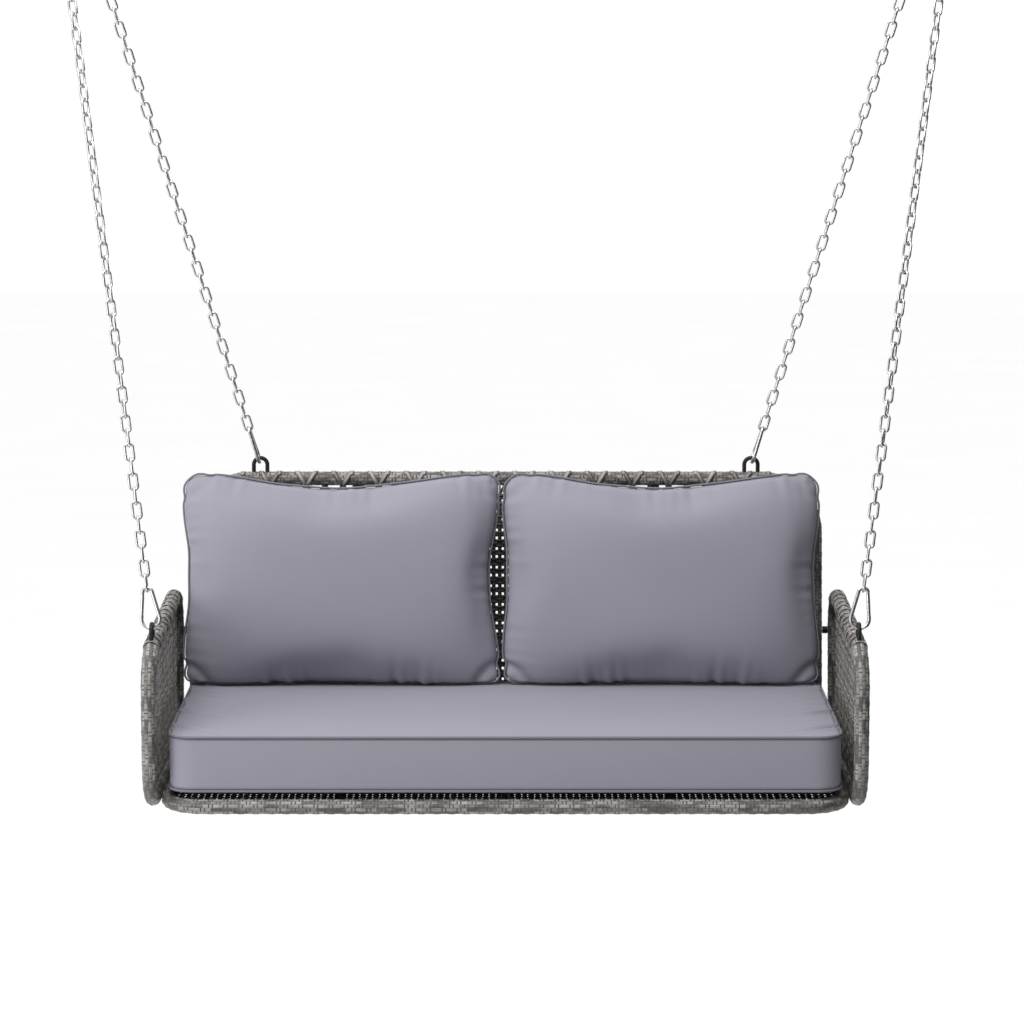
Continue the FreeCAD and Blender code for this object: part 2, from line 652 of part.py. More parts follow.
def add_hanging():
    """The ceiling fittings, and the eyes, hooks and chains below them."""
    hook_x = HOOK_SPACING / 2
    top = SEAT_DROP
    plate_corners = [V(hook_x - PLATE_X / 2, HANG_Y - PLATE_Y / 2, top - PLATE_T),
                     V(hook_x + PLATE_X / 2, HANG_Y - PLATE_Y / 2, top - PLATE_T),
                     V(hook_x + PLATE_X / 2, HANG_Y + PLATE_Y / 2, top - PLATE_T),
                     V(hook_x - PLATE_X / 2, HANG_Y + PLATE_Y / 2, top - PLATE_T)]
    plate = slab(path_of(plate_corners, [PLATE_CORNER_R] * 4), V(0, 0, 1), PLATE_T)
    for side in (-1, 1):
        foot = V(hook_x, HANG_Y + side * PLATE_HOLE_SPACING / 2, top - PLATE_T)
        plate = plate.cut(bar(foot, foot + V(0, 0, PLATE_T), PLATE_HOLE_R))
    add_pair("ceiling_plate_{}", plate)

    low = PIVOT_Z
    high = top - PLATE_T
    loop = path_of([V(hook_x - LOOP_HALF_WIDTH, HANG_Y, high),
                    V(hook_x - LOOP_HALF_WIDTH, HANG_Y, low),
                    V(hook_x + LOOP_HALF_WIDTH, HANG_Y, low),
                    V(hook_x + LOOP_HALF_WIDTH, HANG_Y, high)],
                   [0, LOOP_BEND_R, LOOP_BEND_R, 0], closed=False)
    add_pair("ceiling_loop_{}", rod(loop, LOOP_ROD_R))

    bend = V(hook_x, HANG_Y, low + LOOP_ROD_R + PIVOT_GAP + HOOK_WIRE_R - HOOK_SPAN)
    add_hook("upper_{}", moved_frame(bend, V(0, 1, 0), V(0, 0, 1)))
    rise = HOOK_WIDE_R - math.sqrt(HOOK_WIDE_R ** 2 - HOOK_LINK_SPREAD ** 2)

    corners = [("front", front_eye_foot(), V(0, 1, 0), V(1, 0, 0), -1),
               ("rear", rear_eye_foot(), V(1, 0, 0), V(0, 1, 0), 1)]
    for name, foot, across, gate_side, spread in corners:
        target = bend + V(0, spread * HOOK_LINK_SPREAD, rise)
        start = eye_hook_point(foot, across, target)
        way = (target - start).normalize()
        side = (gate_side - way * gate_side.dot(way)).normalize()
        tube = rod(arm_path(ARM_X) if name == "front" else back_path(), TUBE_R)
        add_pair(name + "_eye_{}", eye(foot, across).cut(tube))
        add_hook(name + "_{}", moved_frame(start, side, way))
        add_pair(name + "_chain_{}", chain(start, target, side, V(0, 1, 0)))
    add("gate_pins", group(pins + [mirrored(pin) for pin in pins]))


def add_cushions():
    """The seat cushion and the two back cushions."""
    width = 2 * (ARM_X - WRAP_R - SEAT_CUSHION_SIDE_GAP)
    foot_y = BACK_FOOT.y + math.tan(LEAN) * (SEAT_CUSHION_Z - RAIL_Z)
    rear = foot_y - WRAP_R / math.cos(LEAN) - CUSHION_SEAT
    depth = rear - SEAT_CUSHION_FRONT
    edge = SEAT_CUSHION_EDGE_R
    size = (width, depth, SEAT_CUSHION_T, SEAT_CUSHION_CORNER_R, edge)
    centre = V(0, (rear + SEAT_CUSHION_FRONT) / 2, SEAT_CUSHION_Z + SEAT_CUSHION_T / 2)
    place = moved_frame(centre, V(1, 0, 0), V(0, 1, 0))
    cover, fill = cover_and_fill(*size)
    reach = (edge + PIPING_R + PIPING_GAP) * math.sqrt(0.5) - edge
    high = SEAT_CUSHION_T / 2 + reach
    rings = [piping(width, depth, SEAT_CUSHION_CORNER_R, z, reach) for z in (-high, high)]
    add("seat_cushion_cover", cover, place)
    add("seat_cushion_foam", fill, place)
    add("seat_cushion_piping", group(rings), place)

    out = WRAP_R + CUSHION_SEAT + BACK_CUSHION_T / 2
    beyond = PIPING_R + PIPING_GAP
    low = SEAT_CUSHION_TOP + CUSHION_SEAT + PIPING_R - RAIL_Z - out * math.sin(LEAN)
    up = low / math.cos(LEAN) + beyond + BACK_CUSHION_H / 2
    across = BACK_CUSHION_SPLIT / 2 + PIPING_R + beyond + BACK_CUSHION_W / 2
    size = (BACK_CUSHION_W, BACK_CUSHION_H, BACK_CUSHION_T,
            BACK_CUSHION_CORNER_R, BACK_CUSHION_EDGE_R)
    place = moved_frame(back_point(across, up, out), V(1, 0, 0), UP_BACK)
    cover, fill = cover_and_fill(*size)
    ring = piping(BACK_CUSHION_W, BACK_CUSHION_H, BACK_CUSHION_CORNER_R, 0, beyond)
    add_pair("back_cushion_{}_cover", placed(cover, place))
    add_pair("back_cushion_{}_fill", placed(fill, place))
    add_pair("back_cushion_{}_piping", placed(ring, place))


pins = []
add_seat()
add_back()
add_arms()
add_fasteners()
add_hanging()
add_cushions()

os.makedirs("parts", exist_ok=True)
for name, shape in parts.items():
    shape.translate(V(0, -HANG_Y, -SEAT_DROP))
    shape.exportStep("parts/" + name + ".step")
print(len(parts), "sub-parts")
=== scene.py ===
# %% [markdown]
# # A wicker porch swing, dressed around its working frame
# The frame holds the parts that carry load: tubes, bolts, hooks, chains and plates.
# This lesson adds what the eye sees: strand wrapped and woven by the strip, three sewn
# cushions, and a finish for every metal, strand and cloth.  Lengths are metres.

# %% Load the frame and keep its size
import bpy
import numpy as np
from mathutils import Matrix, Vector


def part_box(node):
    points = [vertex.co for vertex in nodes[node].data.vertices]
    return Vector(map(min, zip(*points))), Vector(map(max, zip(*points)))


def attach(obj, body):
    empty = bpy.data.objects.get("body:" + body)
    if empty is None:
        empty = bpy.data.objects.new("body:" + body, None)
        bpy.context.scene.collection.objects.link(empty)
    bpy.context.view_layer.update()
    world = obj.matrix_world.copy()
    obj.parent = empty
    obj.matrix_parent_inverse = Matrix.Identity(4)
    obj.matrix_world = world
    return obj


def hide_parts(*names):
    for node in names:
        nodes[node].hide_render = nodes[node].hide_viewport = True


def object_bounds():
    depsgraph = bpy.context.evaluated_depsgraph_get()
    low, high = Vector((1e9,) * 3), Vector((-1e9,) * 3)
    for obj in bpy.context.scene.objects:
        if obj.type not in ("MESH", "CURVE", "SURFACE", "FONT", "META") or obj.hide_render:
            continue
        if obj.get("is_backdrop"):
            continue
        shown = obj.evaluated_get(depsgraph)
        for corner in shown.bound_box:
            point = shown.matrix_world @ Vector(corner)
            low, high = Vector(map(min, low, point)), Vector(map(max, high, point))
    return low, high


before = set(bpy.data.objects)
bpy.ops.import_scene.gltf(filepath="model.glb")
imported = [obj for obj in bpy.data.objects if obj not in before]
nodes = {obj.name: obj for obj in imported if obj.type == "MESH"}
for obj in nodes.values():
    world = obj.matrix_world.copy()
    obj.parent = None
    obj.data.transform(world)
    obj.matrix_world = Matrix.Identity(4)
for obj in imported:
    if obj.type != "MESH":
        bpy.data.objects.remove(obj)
cad_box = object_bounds()

# %% [markdown]
# ## Measures taken from the frame
# Every woven or sewn piece has to meet a tube.  The tubes' boxes give their places, so
# only what a box can't tell, such as a bend's radius, is written down here.

# %% Where the four frames lie
WRAP_R = 0.014                  # a tube with its strand
SEAT_CORNER_R = 0.070
BACK_BOTTOM_R = 0.060
BACK_TOP_R = 0.104
ARM_RADII = (0.060, 0.080, 0.076, 0.062)    # rear foot, front foot, front top, rear top
ARM_FRONT_HEIGHT = 0.302        # an arm's front, from the rails' underside
ARM_SLOPE = np.tan(np.radians(2.4))


def box_of(node):
    """The lowest and highest corner of a node, as arrays."""
    low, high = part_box(node)
    return np.array(low), np.array(high)


seat_low, seat_high = box_of("seat_rim_wrap")
back_low, back_high = box_of("back_rim_wrap")
arm_high = box_of("right_arm_rim_wrap")[1]
rail_z = seat_low[2] + WRAP_R
back_foot = np.array([0.0, back_low[1] + WRAP_R, back_low[2] + WRAP_R])
back_head = np.array([0.0, back_high[1] - WRAP_R, back_high[2] - WRAP_R])
back_length = np.linalg.norm(back_head - back_foot)
back_up = (back_head - back_foot) / back_length
back_out = np.cross(back_up, [1.0, 0.0, 0.0])
back_half = back_high[0] - WRAP_R
lean = back_up[1] / back_up[2]
arm_x = arm_high[0] - WRAP_R
print("back leans", round(float(np.degrees(np.arctan(lean))), 2), "degrees")

# %% [markdown]
# ## Camera, floor and light
# A long lens from well in front keeps the chains nearly straight, and looks a little
# down on the seat.  A pale floor and broad lamps give soft, even light.

# %% Helpers between arrays and meshes
def unit(vectors):
    """Vectors scaled to length one."""
    return vectors / np.linalg.norm(vectors, axis=-1, keepdims=True)


def smooth(share):
    """A share from 0 to 1 that starts and stops gently: s²(3 − 2s)."""
    return share * share * (3 - 2 * share)


def read(items, key, kind=np.float32, width=3):
    """One row of numbers for each item of a mesh."""
    values = np.empty(len(items) * width, kind)
    items.foreach_get(key, values)
    return values.reshape(-1, width)


def mesh_object(name, points, *polygon_sets):
    """Points as (..., 3); each polygon set holds point numbers, one polygon to a row."""
    mesh = bpy.data.meshes.new(name)
    points = np.ascontiguousarray(points.reshape(-1, 3), dtype=np.float32)
    corners = np.concatenate([polygons.ravel() for polygons in polygon_sets])
    sizes = np.concatenate([np.full(len(p), p.shape[1]) for p in polygon_sets])
    starts = np.concatenate([[0], np.cumsum(sizes)[:-1]])
    mesh.vertices.add(len(points))
    mesh.vertices.foreach_set("co", points.ravel())
    mesh.loops.add(len(corners))
    mesh.loops.foreach_set("vertex_index", corners.astype(np.int32))
    mesh.polygons.add(len(sizes))
    mesh.polygons.foreach_set("loop_start", starts.astype(np.int32))
    mesh.update(calc_edges=True)
    mesh.validate()
    mesh.polygons.foreach_set("use_smooth", np.ones(len(sizes), dtype=bool))
    piece = bpy.data.objects.new(name, mesh)
    bpy.context.scene.collection.objects.link(piece)
    return piece


# %% Camera
TARGET = (0.012, -0.086, rail_z + 0.4922)
DISTANCE = 6.8
PITCH = np.radians(8.0)
SENSOR = 36.0
LENS = 129.4

camera_data = bpy.data.cameras.new("camera")
camera_data.lens = LENS
camera_data.sensor_width = SENSOR
camera = bpy.data.objects.new("camera", camera_data)
bpy.context.scene.collection.objects.link(camera)
camera.location = (TARGET[0], TARGET[1] - DISTANCE * np.cos(PITCH),
                   TARGET[2] + DISTANCE * np.sin(PITCH))
camera.rotation_euler = (np.pi / 2 - PITCH, 0, 0)
camera_data.clip_end = 100
bpy.context.scene.camera = camera
print("camera at", [round(c, 3) for c in camera.location])

# %% Floor and lamps
FLOOR_Z = seat_low[2] - 1.5
FLOOR_HALF = 30.0
# A lamp's name, place and size, its power in watts and its colour.  Places are measured
# from half a metre above the rails, and the lamps aim a little lower.
LAMP_ORIGIN = 0.5
LAMP_AIM = 0.3
LAMPS = (("key", (-1.1, -2.0, 3.4), (3.4, 2.6), 168.0, (1.0, 1.0, 1.0)),
         ("left", (-3.4, -3.4, 0.35), (2.4, 2.4), 68.0, (1.0, 1.0, 1.0)),
         ("right", (3.4, -4.2, 0.35), (2.0, 2.0), 30.0, (1.0, 1.0, 1.0)),
         ("back", (0.0, 3.0, 1.8), (3.0, 2.0), 30.0, (1.0, 1.0, 1.0)))
FLAG_HEIGHT = 4.6
FLAG_FOOT = -1.4                # from the rails' underside
FLAGS = (((-2.3, -6.2), (-2.3, -3.2)), ((2.3, -6.2), (2.3, 1.6)),
         ((-2.5, -7.6), (2.5, -7.6)))
WORLD = (1.0, 1.0, 1.0, 1.0)
WORLD_STRENGTH = 1.03

x = np.array([-1, 1, 1, -1]) * FLOOR_HALF
y = np.array([-1, -1, 1, 1]) * FLOOR_HALF
floor = mesh_object("floor", np.stack([x, y, np.full(4, FLOOR_Z)], -1),
                    np.array([[0, 1, 2, 3]]))
floor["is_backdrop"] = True
scene = bpy.context.scene
scene.world = bpy.data.worlds.new("studio")
scene.world.use_nodes = True
background = scene.world.node_tree.nodes["Background"]
background.inputs["Color"].default_value = WORLD
background.inputs["Strength"].default_value = WORLD_STRENGTH
scene.view_settings.view_transform = "Standard"
for name, place, size, power, colour in LAMPS:
    lamp_data = bpy.data.lights.new(name, "AREA")
    lamp_data.shape = "RECTANGLE"
    lamp_data.size, lamp_data.size_y = size
    lamp_data.energy = power
    lamp_data.color = colour
    lamp = bpy.data.objects.new(name, lamp_data)
    scene.collection.objects.link(lamp)
    spot = np.array(place) + np.array([0, 0, seat_low[2] + LAMP_ORIGIN])
    lamp.location = spot
    aim = np.array([0, 0, seat_low[2] + LAMP_AIM]) - spot
    yaw = np.arctan2(aim[1], aim[0]) - np.pi / 2
    tilt = np.arctan2(np.hypot(aim[0], aim[1]), -aim[2])
    lamp.rotation_euler = (tilt, 0, yaw)
print("floor at", round(float(FLOOR_Z), 3))

# %% Dark flags beside and behind the camera, for metal to reflect
flags = []
for start, end in FLAGS:
    foot_z = seat_low[2] + FLAG_FOOT
    foot = np.array([(*start, foot_z), (*end, foot_z)])
    flag = mesh_object("flag", np.concatenate([foot, foot[::-1] + [0, 0, FLAG_HEIGHT]]),
                       np.array([[0, 1, 2, 3]]))
    flag.visible_camera = False
    flag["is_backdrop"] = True
    flags.append(flag)
print(len(flags), "flags, unseen by the camera")

# %% [markdown]
# ## Shader maths as sums
# A material is a formula.  Wrapping a socket in a small class lets the formula be
# written as one, and the class adds the nodes that work it out.

# %% A socket that can be added and multiplied
class Socket:
    """A number made by a node, which can be used in a sum."""

    def __init__(self, tree, link):
        self.tree = tree
        self.link = link

    def __add__(self, other):
        return self.tree.maths("ADD", self, other)

    def __sub__(self, other):
        return self.tree.maths("SUBTRACT", self, other)

    def __mul__(self, other):
        return self.tree.maths("MULTIPLY", self, other)

    def __rsub__(self, other):
        return self.tree.maths("SUBTRACT", other, self)

    __radd__ = __add__
    __rmul__ = __mul__

    def power(self, exponent):
        """This number raised to a power."""
        return self.tree.maths("POWER", self, exponent)

    def clamp(self):
        """This number held between 0 and 1."""
        return self.tree.maths("ADD", self, 0.0, use_clamp=True)


class Tree:
    """One material's nodes."""

    def __init__(self, name):
        self.material = bpy.data.materials.new(name)
        self.material.use_nodes = True
        self.nodes = self.material.node_tree.nodes
        self.links = self.material.node_tree.links
        self.nodes.clear()

    def node(self, kind, settings=None, **sockets):
        """A node of a kind, its settings first and then its sockets' values or links."""
        made = self.nodes.new(kind)
        for key, value in (settings or {}).items():
            setattr(made, key, value)
        for key, value in sockets.items():
            socket = made.inputs[int(key[1:])] if key[1:].isdigit() else \
                made.inputs[key.replace("_", " ")]
            self.feed(socket, value)
        return made

    def feed(self, socket, value):
        """Link a socket to another, or set its value."""
        if isinstance(value, Socket):
            self.links.new(value.link, socket)
        elif isinstance(value, bpy.types.NodeSocket):
            self.links.new(value, socket)
        elif socket.type == "RGBA" and len(value) == 3:
            socket.default_value = (*value, 1.0)
        else:
            socket.default_value = value

    def maths(self, operation, a, b=0.0, use_clamp=False):
        """A Math node of two numbers."""
        made = self.node("ShaderNodeMath", {"operation": operation, "use_clamp": use_clamp},
                         i0=a, i1=b)
        return Socket(self, made.outputs[0])

    def number(self, kind, output=0, settings=None, **sockets):
        """A node's output as a number for sums."""
        return Socket(self, self.node(kind, settings, **sockets).outputs[output])

    def attribute(self, name):
        """A number stored on the mesh's points."""
        made = self.node("ShaderNodeAttribute", {"attribute_name": name})
        return Socket(self, made.outputs["Fac"])

    def place(self):
        """Object coordinates, in metres from the origin."""
        return self.node("ShaderNodeTexCoord").outputs["Object"]

    def mix(self, factor, low, high):
        """Two colours mixed by a factor."""
        made = self.node("ShaderNodeMix", {"data_type": "RGBA"}, i0=factor, i6=low, i7=high)
        return made.outputs[2]

    def noise(self, vector, scale, detail=2.0):
        """Soft noise between 0 and 1."""
        return self.number("ShaderNodeTexNoise", Vector=vector, Scale=scale, Detail=detail)

    def stretched(self, vector, scale):
        """Coordinates scaled by three factors."""
        made = self.node("ShaderNodeVectorMath", {"operation": "MULTIPLY"},
                         i0=vector, i1=scale)
        return made.outputs[0]

    def surface(self, bump=None, **sockets):
        """The Principled shader, with an optional height in metres as bump."""
        shader = self.node("ShaderNodeBsdfPrincipled", None, **sockets)
        if bump is not None:
            made = self.node("ShaderNodeBump", None, Height=bump, Distance=1.0,
                             Strength=1.0)
            self.links.new(made.outputs[0], shader.inputs["Normal"])
        output = self.node("ShaderNodeOutputMaterial")
        self.links.new(shader.outputs[0], output.inputs["Surface"])
        return self.material


def dress(names, material):
    """Give CAD nodes a material."""
    for name in names:
        nodes[name].data.materials.clear()
        nodes[name].data.materials.append(material)

# %% [markdown]
# ## Finishes for the studio, the metal and the paint
# Each finish is noise at two or three sizes: broad noise shifts the colour, and fine
# noise, in metres of height, roughens the surface.

# %% Floor and flags
tree = Tree("studio_floor")
speckle = tree.noise(tree.place(), 1.5)
tone = tree.mix(speckle, (0.93, 0.93, 0.93), (0.97, 0.97, 0.97))
floor.data.materials.append(tree.surface(Base_Color=tone, Roughness=0.9))

tree = Tree("dark_flag")
weave = tree.noise(tree.place(), 8.0)
tone = tree.mix(weave, (0.03, 0.03, 0.03), (0.05, 0.05, 0.05))
flag_cloth = tree.surface(Base_Color=tone, Roughness=0.9)
for flag in flags:
    flag.data.materials.append(flag_cloth)
print("studio finishes:", floor.data.materials[0].name, "and", flag_cloth.name)

# %% Zinc for chains, hooks, bolts and plates
tree = Tree("bright_zinc")
place = tree.place()
bloom = tree.noise(place, 260.0, 3.0)
fine = tree.noise(place, 1500.0, 2.0)
tone = tree.mix(bloom, (0.42, 0.42, 0.43), (0.70, 0.70, 0.71))
zinc = tree.surface(bump=fine * 0.00003, Base_Color=tone, Metallic=1.0,
                    Roughness=bloom * 0.16 + 0.16)
metal = [n for n in nodes if "hook" in n or "chain" in n or "gate" in n or "bolts" in n
         or "inserts" in n or "ceiling" in n]
dress(metal, zinc)
print("in zinc:", len(metal), "nodes")

# %% Black paint on the eyes and bronze paint on the bars
def powder_coat(name, patch, dark, light, rough_range, rough, **sockets):
    """Paint with fine orange peel, its colour and roughness changing in worn patches."""
    tree = Tree(name)
    place = tree.place()
    orange_peel = tree.noise(place, 900.0, 2.0)
    worn = tree.noise(place, patch, 4.0)
    return tree.surface(bump=orange_peel * 0.00006, Base_Color=tree.mix(worn, dark, light),
                        Roughness=worn * rough_range + rough, **sockets)


black_paint = powder_coat("black_powder_coat", 120.0, (0.004, 0.004, 0.004),
                          (0.02, 0.02, 0.021), 0.15, 0.45, Specular_IOR_Level=0.25)
black = [n for n in nodes if "eye" in n or "spacers" in n]
dress(black, black_paint)
frame_paint = powder_coat("bronze_powder_coat", 60.0, (0.020, 0.018, 0.016),
                          (0.045, 0.041, 0.037), 0.2, 0.35)
bars = [n for n in nodes if n.endswith("_frame") or "crossbars" in n or "stiffeners" in n]
dress(bars, frame_paint)
print("painted:", len(black), "black and", len(bars), "bronze nodes")

# %% [markdown]
# ## Strands that follow the tubes
# A maker binds each tube with flat strand before weaving the panels.  Here the bound
# tube is one surface: a circle carried round a path with rounded corners, its radius
# rising and falling where strips pass over and under the hoops that hold them.

# %% A closed path with rounded corners
ARC_POINTS = 25


def evenly(points, step):
    """A path sampled again at equal distances, about a step apart, and its length."""
    gaps = np.linalg.norm(np.diff(points, axis=0), axis=1)
    run = np.concatenate([[0], np.cumsum(gaps)])
    count = int(round(run[-1] / step))
    at = np.arange(count) * run[-1] / count
    return np.stack([np.interp(at, run, column) for column in points.T], 1), run[-1]


def rounded_loop(corners, radii, step):
    """Points an even distance apart round a polygon whose corners are rounded.

    A corner that turns by t begins r·tan(t/2) before its sharp point, and its arc is
    centre − side·r·cos(a) + way·r·sin(a), for a from 0 to t."""
    corners = np.array(corners, float)
    radii = np.array(radii, float)[:, None]
    way = unit(corners - np.roll(corners, 1, 0))
    onward = np.roll(way, -1, 0)
    turn = np.arctan2(way[:, 0] * onward[:, 1] - way[:, 1] * onward[:, 0],
                      (way * onward).sum(1))[:, None]
    side = np.stack([-way[:, 1], way[:, 0]], 1) * np.sign(turn)
    start = corners - way * radii * np.tan(abs(turn) / 2)
    angle = np.linspace(0, 1, ARC_POINTS)[None, :, None] * abs(turn)[:, None]
    arcs = (start + side * radii)[:, None] + radii[:, None] * (
        way[:, None] * np.sin(angle) - side[:, None] * np.cos(angle))
    points = arcs.reshape(-1, 2)
    return evenly(np.vstack([points, points[:1]]), step)


# %% The four rims, each drawn flat and then placed
X_AXIS, Y_AXIS, Z_AXIS = np.eye(3)
seat_half = seat_high[0] - WRAP_R
seat_front = seat_low[1] + WRAP_R
seat_rear = seat_high[1] - WRAP_R
arm_rise = ARM_FRONT_HEIGHT - 2 * WRAP_R
rear_rise = (arm_rise + (back_foot[1] - seat_front) * ARM_SLOPE) / (1 - lean * ARM_SLOPE)
arm_corners = [(seat_front, 0), (back_foot[1], 0),
               (back_foot[1] + rear_rise * lean, rear_rise), (seat_front, arm_rise)]
arm_radii = [ARM_RADII[1], ARM_RADII[0], ARM_RADII[3], ARM_RADII[2]]
RIMS = {
    "seat": (np.array([0, 0, rail_z]), X_AXIS, Y_AXIS, Z_AXIS,
             [(-seat_half, seat_front), (seat_half, seat_front),
              (seat_half, seat_rear), (-seat_half, seat_rear)], [SEAT_CORNER_R] * 4),
    "back": (back_foot, X_AXIS, back_up, back_out,
             [(-back_half, 0), (back_half, 0), (back_half, back_length),
              (-back_half, back_length)],
             [BACK_BOTTOM_R, BACK_BOTTOM_R, BACK_TOP_R, BACK_TOP_R]),
    "left_arm": (np.array([-arm_x, 0, rail_z]), Y_AXIS, Z_AXIS, -X_AXIS,
                 arm_corners, arm_radii),
    "right_arm": (np.array([arm_x, 0, rail_z]), Y_AXIS, Z_AXIS, X_AXIS,
                  arm_corners, arm_radii),
}
print("rims:", ", ".join(RIMS))


def in_space(flat, rim, out=0.0):
    """Flat points placed in space: origin + across·A + up·B + out·O."""
    origin, across, up, outward = RIMS[rim][:4]
    out = np.broadcast_to(out, flat.shape[:-1])[..., None]
    return origin + flat[..., :1] * across + flat[..., 1:2] * up + out * outward


# %% Corner-by-corner coordinates for patterns that follow a strand
def add_uv(piece, values):
    """Store a (corners, 2) array as the UV map that the strand patterns read."""
    layer = piece.data.uv_layers.new(name="strand")
    layer.data.foreach_set("uv", np.ascontiguousarray(values, dtype=np.float32).ravel())


def grid_faces(rows, columns, closed_rows, closed_columns):
    """Quads of a grid of points, and each corner's row and column before it wraps round."""
    i, j = np.meshgrid(np.arange(rows - (not closed_rows)),
                       np.arange(columns - (not closed_columns)), indexing="ij")
    i, j = i.ravel(), j.ravel()
    row = np.stack([i, i + 1, i + 1, i], 1)
    column = np.stack([j, j, j + 1, j + 1], 1)
    return (row % rows) * columns + column % columns, row, column


# %% Bound tubes
STRIPS = 12                     # strips round a tube
HOOP_PITCH = 0.0135             # from hoop to hoop along it
HOOP_HALF = 0.0030
ROUND = 48                      # points round the tube
STRIP_BASE = 0.0127
STRIP_WAVE = 0.0005
STRIP_CROWN = 0.0007
TUBE_STEP = 0.0027              # between points along a bound tube
LOOP_STEP = 0.004               # between points of a rim that only guides the weave


def bound_tube(name, rim):
    """A tube bound in lengthwise strips that dive under hoops, brick fashion.

    The radius is the larger of a strip, base + wave·cos(π(hoop + strip)) + crown·(1 − u⁴),
    and a hoop, base + crown·(1 − (d/half)²), d being the distance to the nearest hoop."""
    corners, radii = RIMS[rim][4:]
    path, length = rounded_loop(corners, radii, TUBE_STEP)
    tangent = unit(np.roll(path, -1, 0) - np.roll(path, 1, 0))
    outward = np.stack([tangent[:, 1], -tangent[:, 0]], 1)
    hoops = 2 * int(round(length / HOOP_PITCH / 2))
    hoop = np.arange(len(path))[:, None] * hoops / len(path)
    strip = np.arange(ROUND)[None] * STRIPS / ROUND
    number = np.floor(strip)
    u = 2 * (strip - number) - 1
    over = STRIP_WAVE * np.cos(np.pi * (hoop + number)) + STRIP_CROWN * (1 - u ** 4)
    distance = abs(hoop - np.round(hoop)) * length / hoops
    bar = STRIP_CROWN * (1 - (distance / HOOP_HALF) ** 2)
    radius = STRIP_BASE + np.maximum(over, bar)
    angle = 2 * np.pi * strip / STRIPS
    flat = path[:, None] + (radius * np.cos(angle))[..., None] * outward[:, None]
    points = in_space(flat, rim, radius * np.sin(angle))
    faces, row, column = grid_faces(len(path), ROUND, True, True)
    piece = mesh_object(name, points, faces)
    along = row * hoops / len(path)
    add_uv(piece, np.stack([along.ravel(), (column * STRIPS / ROUND).ravel()], 1))
    return piece


def facing_out(piece):
    """Turn a closed mesh's faces outward: its signed volume must be positive."""
    mesh = piece.data
    mesh.calc_loop_triangles()
    points = read(mesh.vertices, "co")
    points = points - points.mean(0)
    a, b, c = points[read(mesh.loop_triangles, "vertices", np.int32).T]
    if (np.cross(a, b) * c).sum() < 0:
        mesh.flip_normals()
    return piece


wraps = {}
for rim in RIMS:
    wraps[rim] = facing_out(bound_tube(rim + "_bound_rim", rim))
    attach(wraps[rim], "swing")
    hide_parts(rim + "_rim_wrap")
print("bound rims:", {rim: len(piece.data.polygons) for rim, piece in wraps.items()})

# %% [markdown]
# ## Open weave
# Flat strands run up as stakes, and others run across them, over one and under the next.
# Bands of two strands and of three take turns, and the gaps between bands are the holes.

# %% Ribbons from whole arrays
STRAND_V = np.array([0.02, 0.5, 0.98, 0.5])     # V of a cross-section's four points


def store(piece, name, values):
    """Keep one number for every point of a mesh."""
    layer = piece.data.attributes.new(name, "FLOAT", "POINT")
    layer.data.foreach_set("value", np.ascontiguousarray(values, dtype=np.float32).ravel())


def ribbons(name, centre, across, face, width, thick, stands=None):
    """Flat strands with closed ends, from (strands, samples, 3) arrays.

    Each cross-section is a lens of four points: centre ± across·w/2 and ± face·t/2.
    Where the strand stands out by s, from -1 to 1, its face has a dip of (1 − s)/2 and
    its other side one of (1 + s)/2, which the strand's material turns into painted shade."""
    strands, samples = centre.shape[:2]
    ring = np.stack([centre - across * width / 2, centre + face * thick / 2,
                     centre + across * width / 2, centre - face * thick / 2], 2)
    faces, row, column = grid_faces(samples, 4, False, True)
    first = np.arange(strands) * samples * 4
    sides = first[:, None, None] + faces
    start = first[:, None] + np.arange(4)
    end = first[:, None] + (samples - 1) * 4 + np.array([3, 2, 1, 0])
    piece = mesh_object(name, ring, sides.reshape(-1, 4), start, end)
    run = np.linalg.norm(np.diff(centre, axis=1), axis=2)
    run = np.concatenate([np.zeros((strands, 1)), np.cumsum(run, 1)], 1) / HOOP_PITCH
    number = np.arange(strands)[:, None, None]
    u = run[:, row]
    v = number + STRAND_V[column % 4] + np.zeros_like(u)
    middles = np.broadcast_to(number[..., 0] + 0.5, (strands, 4))
    ends = np.stack([np.zeros((strands, 4)), middles], -1).reshape(-1, 2)
    add_uv(piece, np.concatenate([np.stack([u, v], -1).reshape(-1, 2), ends, ends]))
    dip = np.zeros(ring.shape[:3])
    if stands is not None:
        dip[...] = 0.5
        dip[:, :, 1] = (1 - stands) / 2
        dip[:, :, 3] = (1 + stands) / 2
    store(piece, "dip", dip)
    return facing_out(piece)


def spans(loop, values, axis):
    """Where straight lines at these values of one axis cross a closed flat loop."""
    ahead = np.roll(loop, -1, 0)
    a, b = loop[None, :, axis], ahead[None, :, axis]
    share = (values[:, None] - a) / np.where(abs(b - a) < 1e-12, 1e-12, b - a)
    other = loop[None, :, 1 - axis] + share * (ahead - loop)[None, :, 1 - axis]
    hit = (share >= 0) & (share <= 1)
    return (np.where(hit, other, np.inf).min(1), np.where(hit, other, -np.inf).max(1))


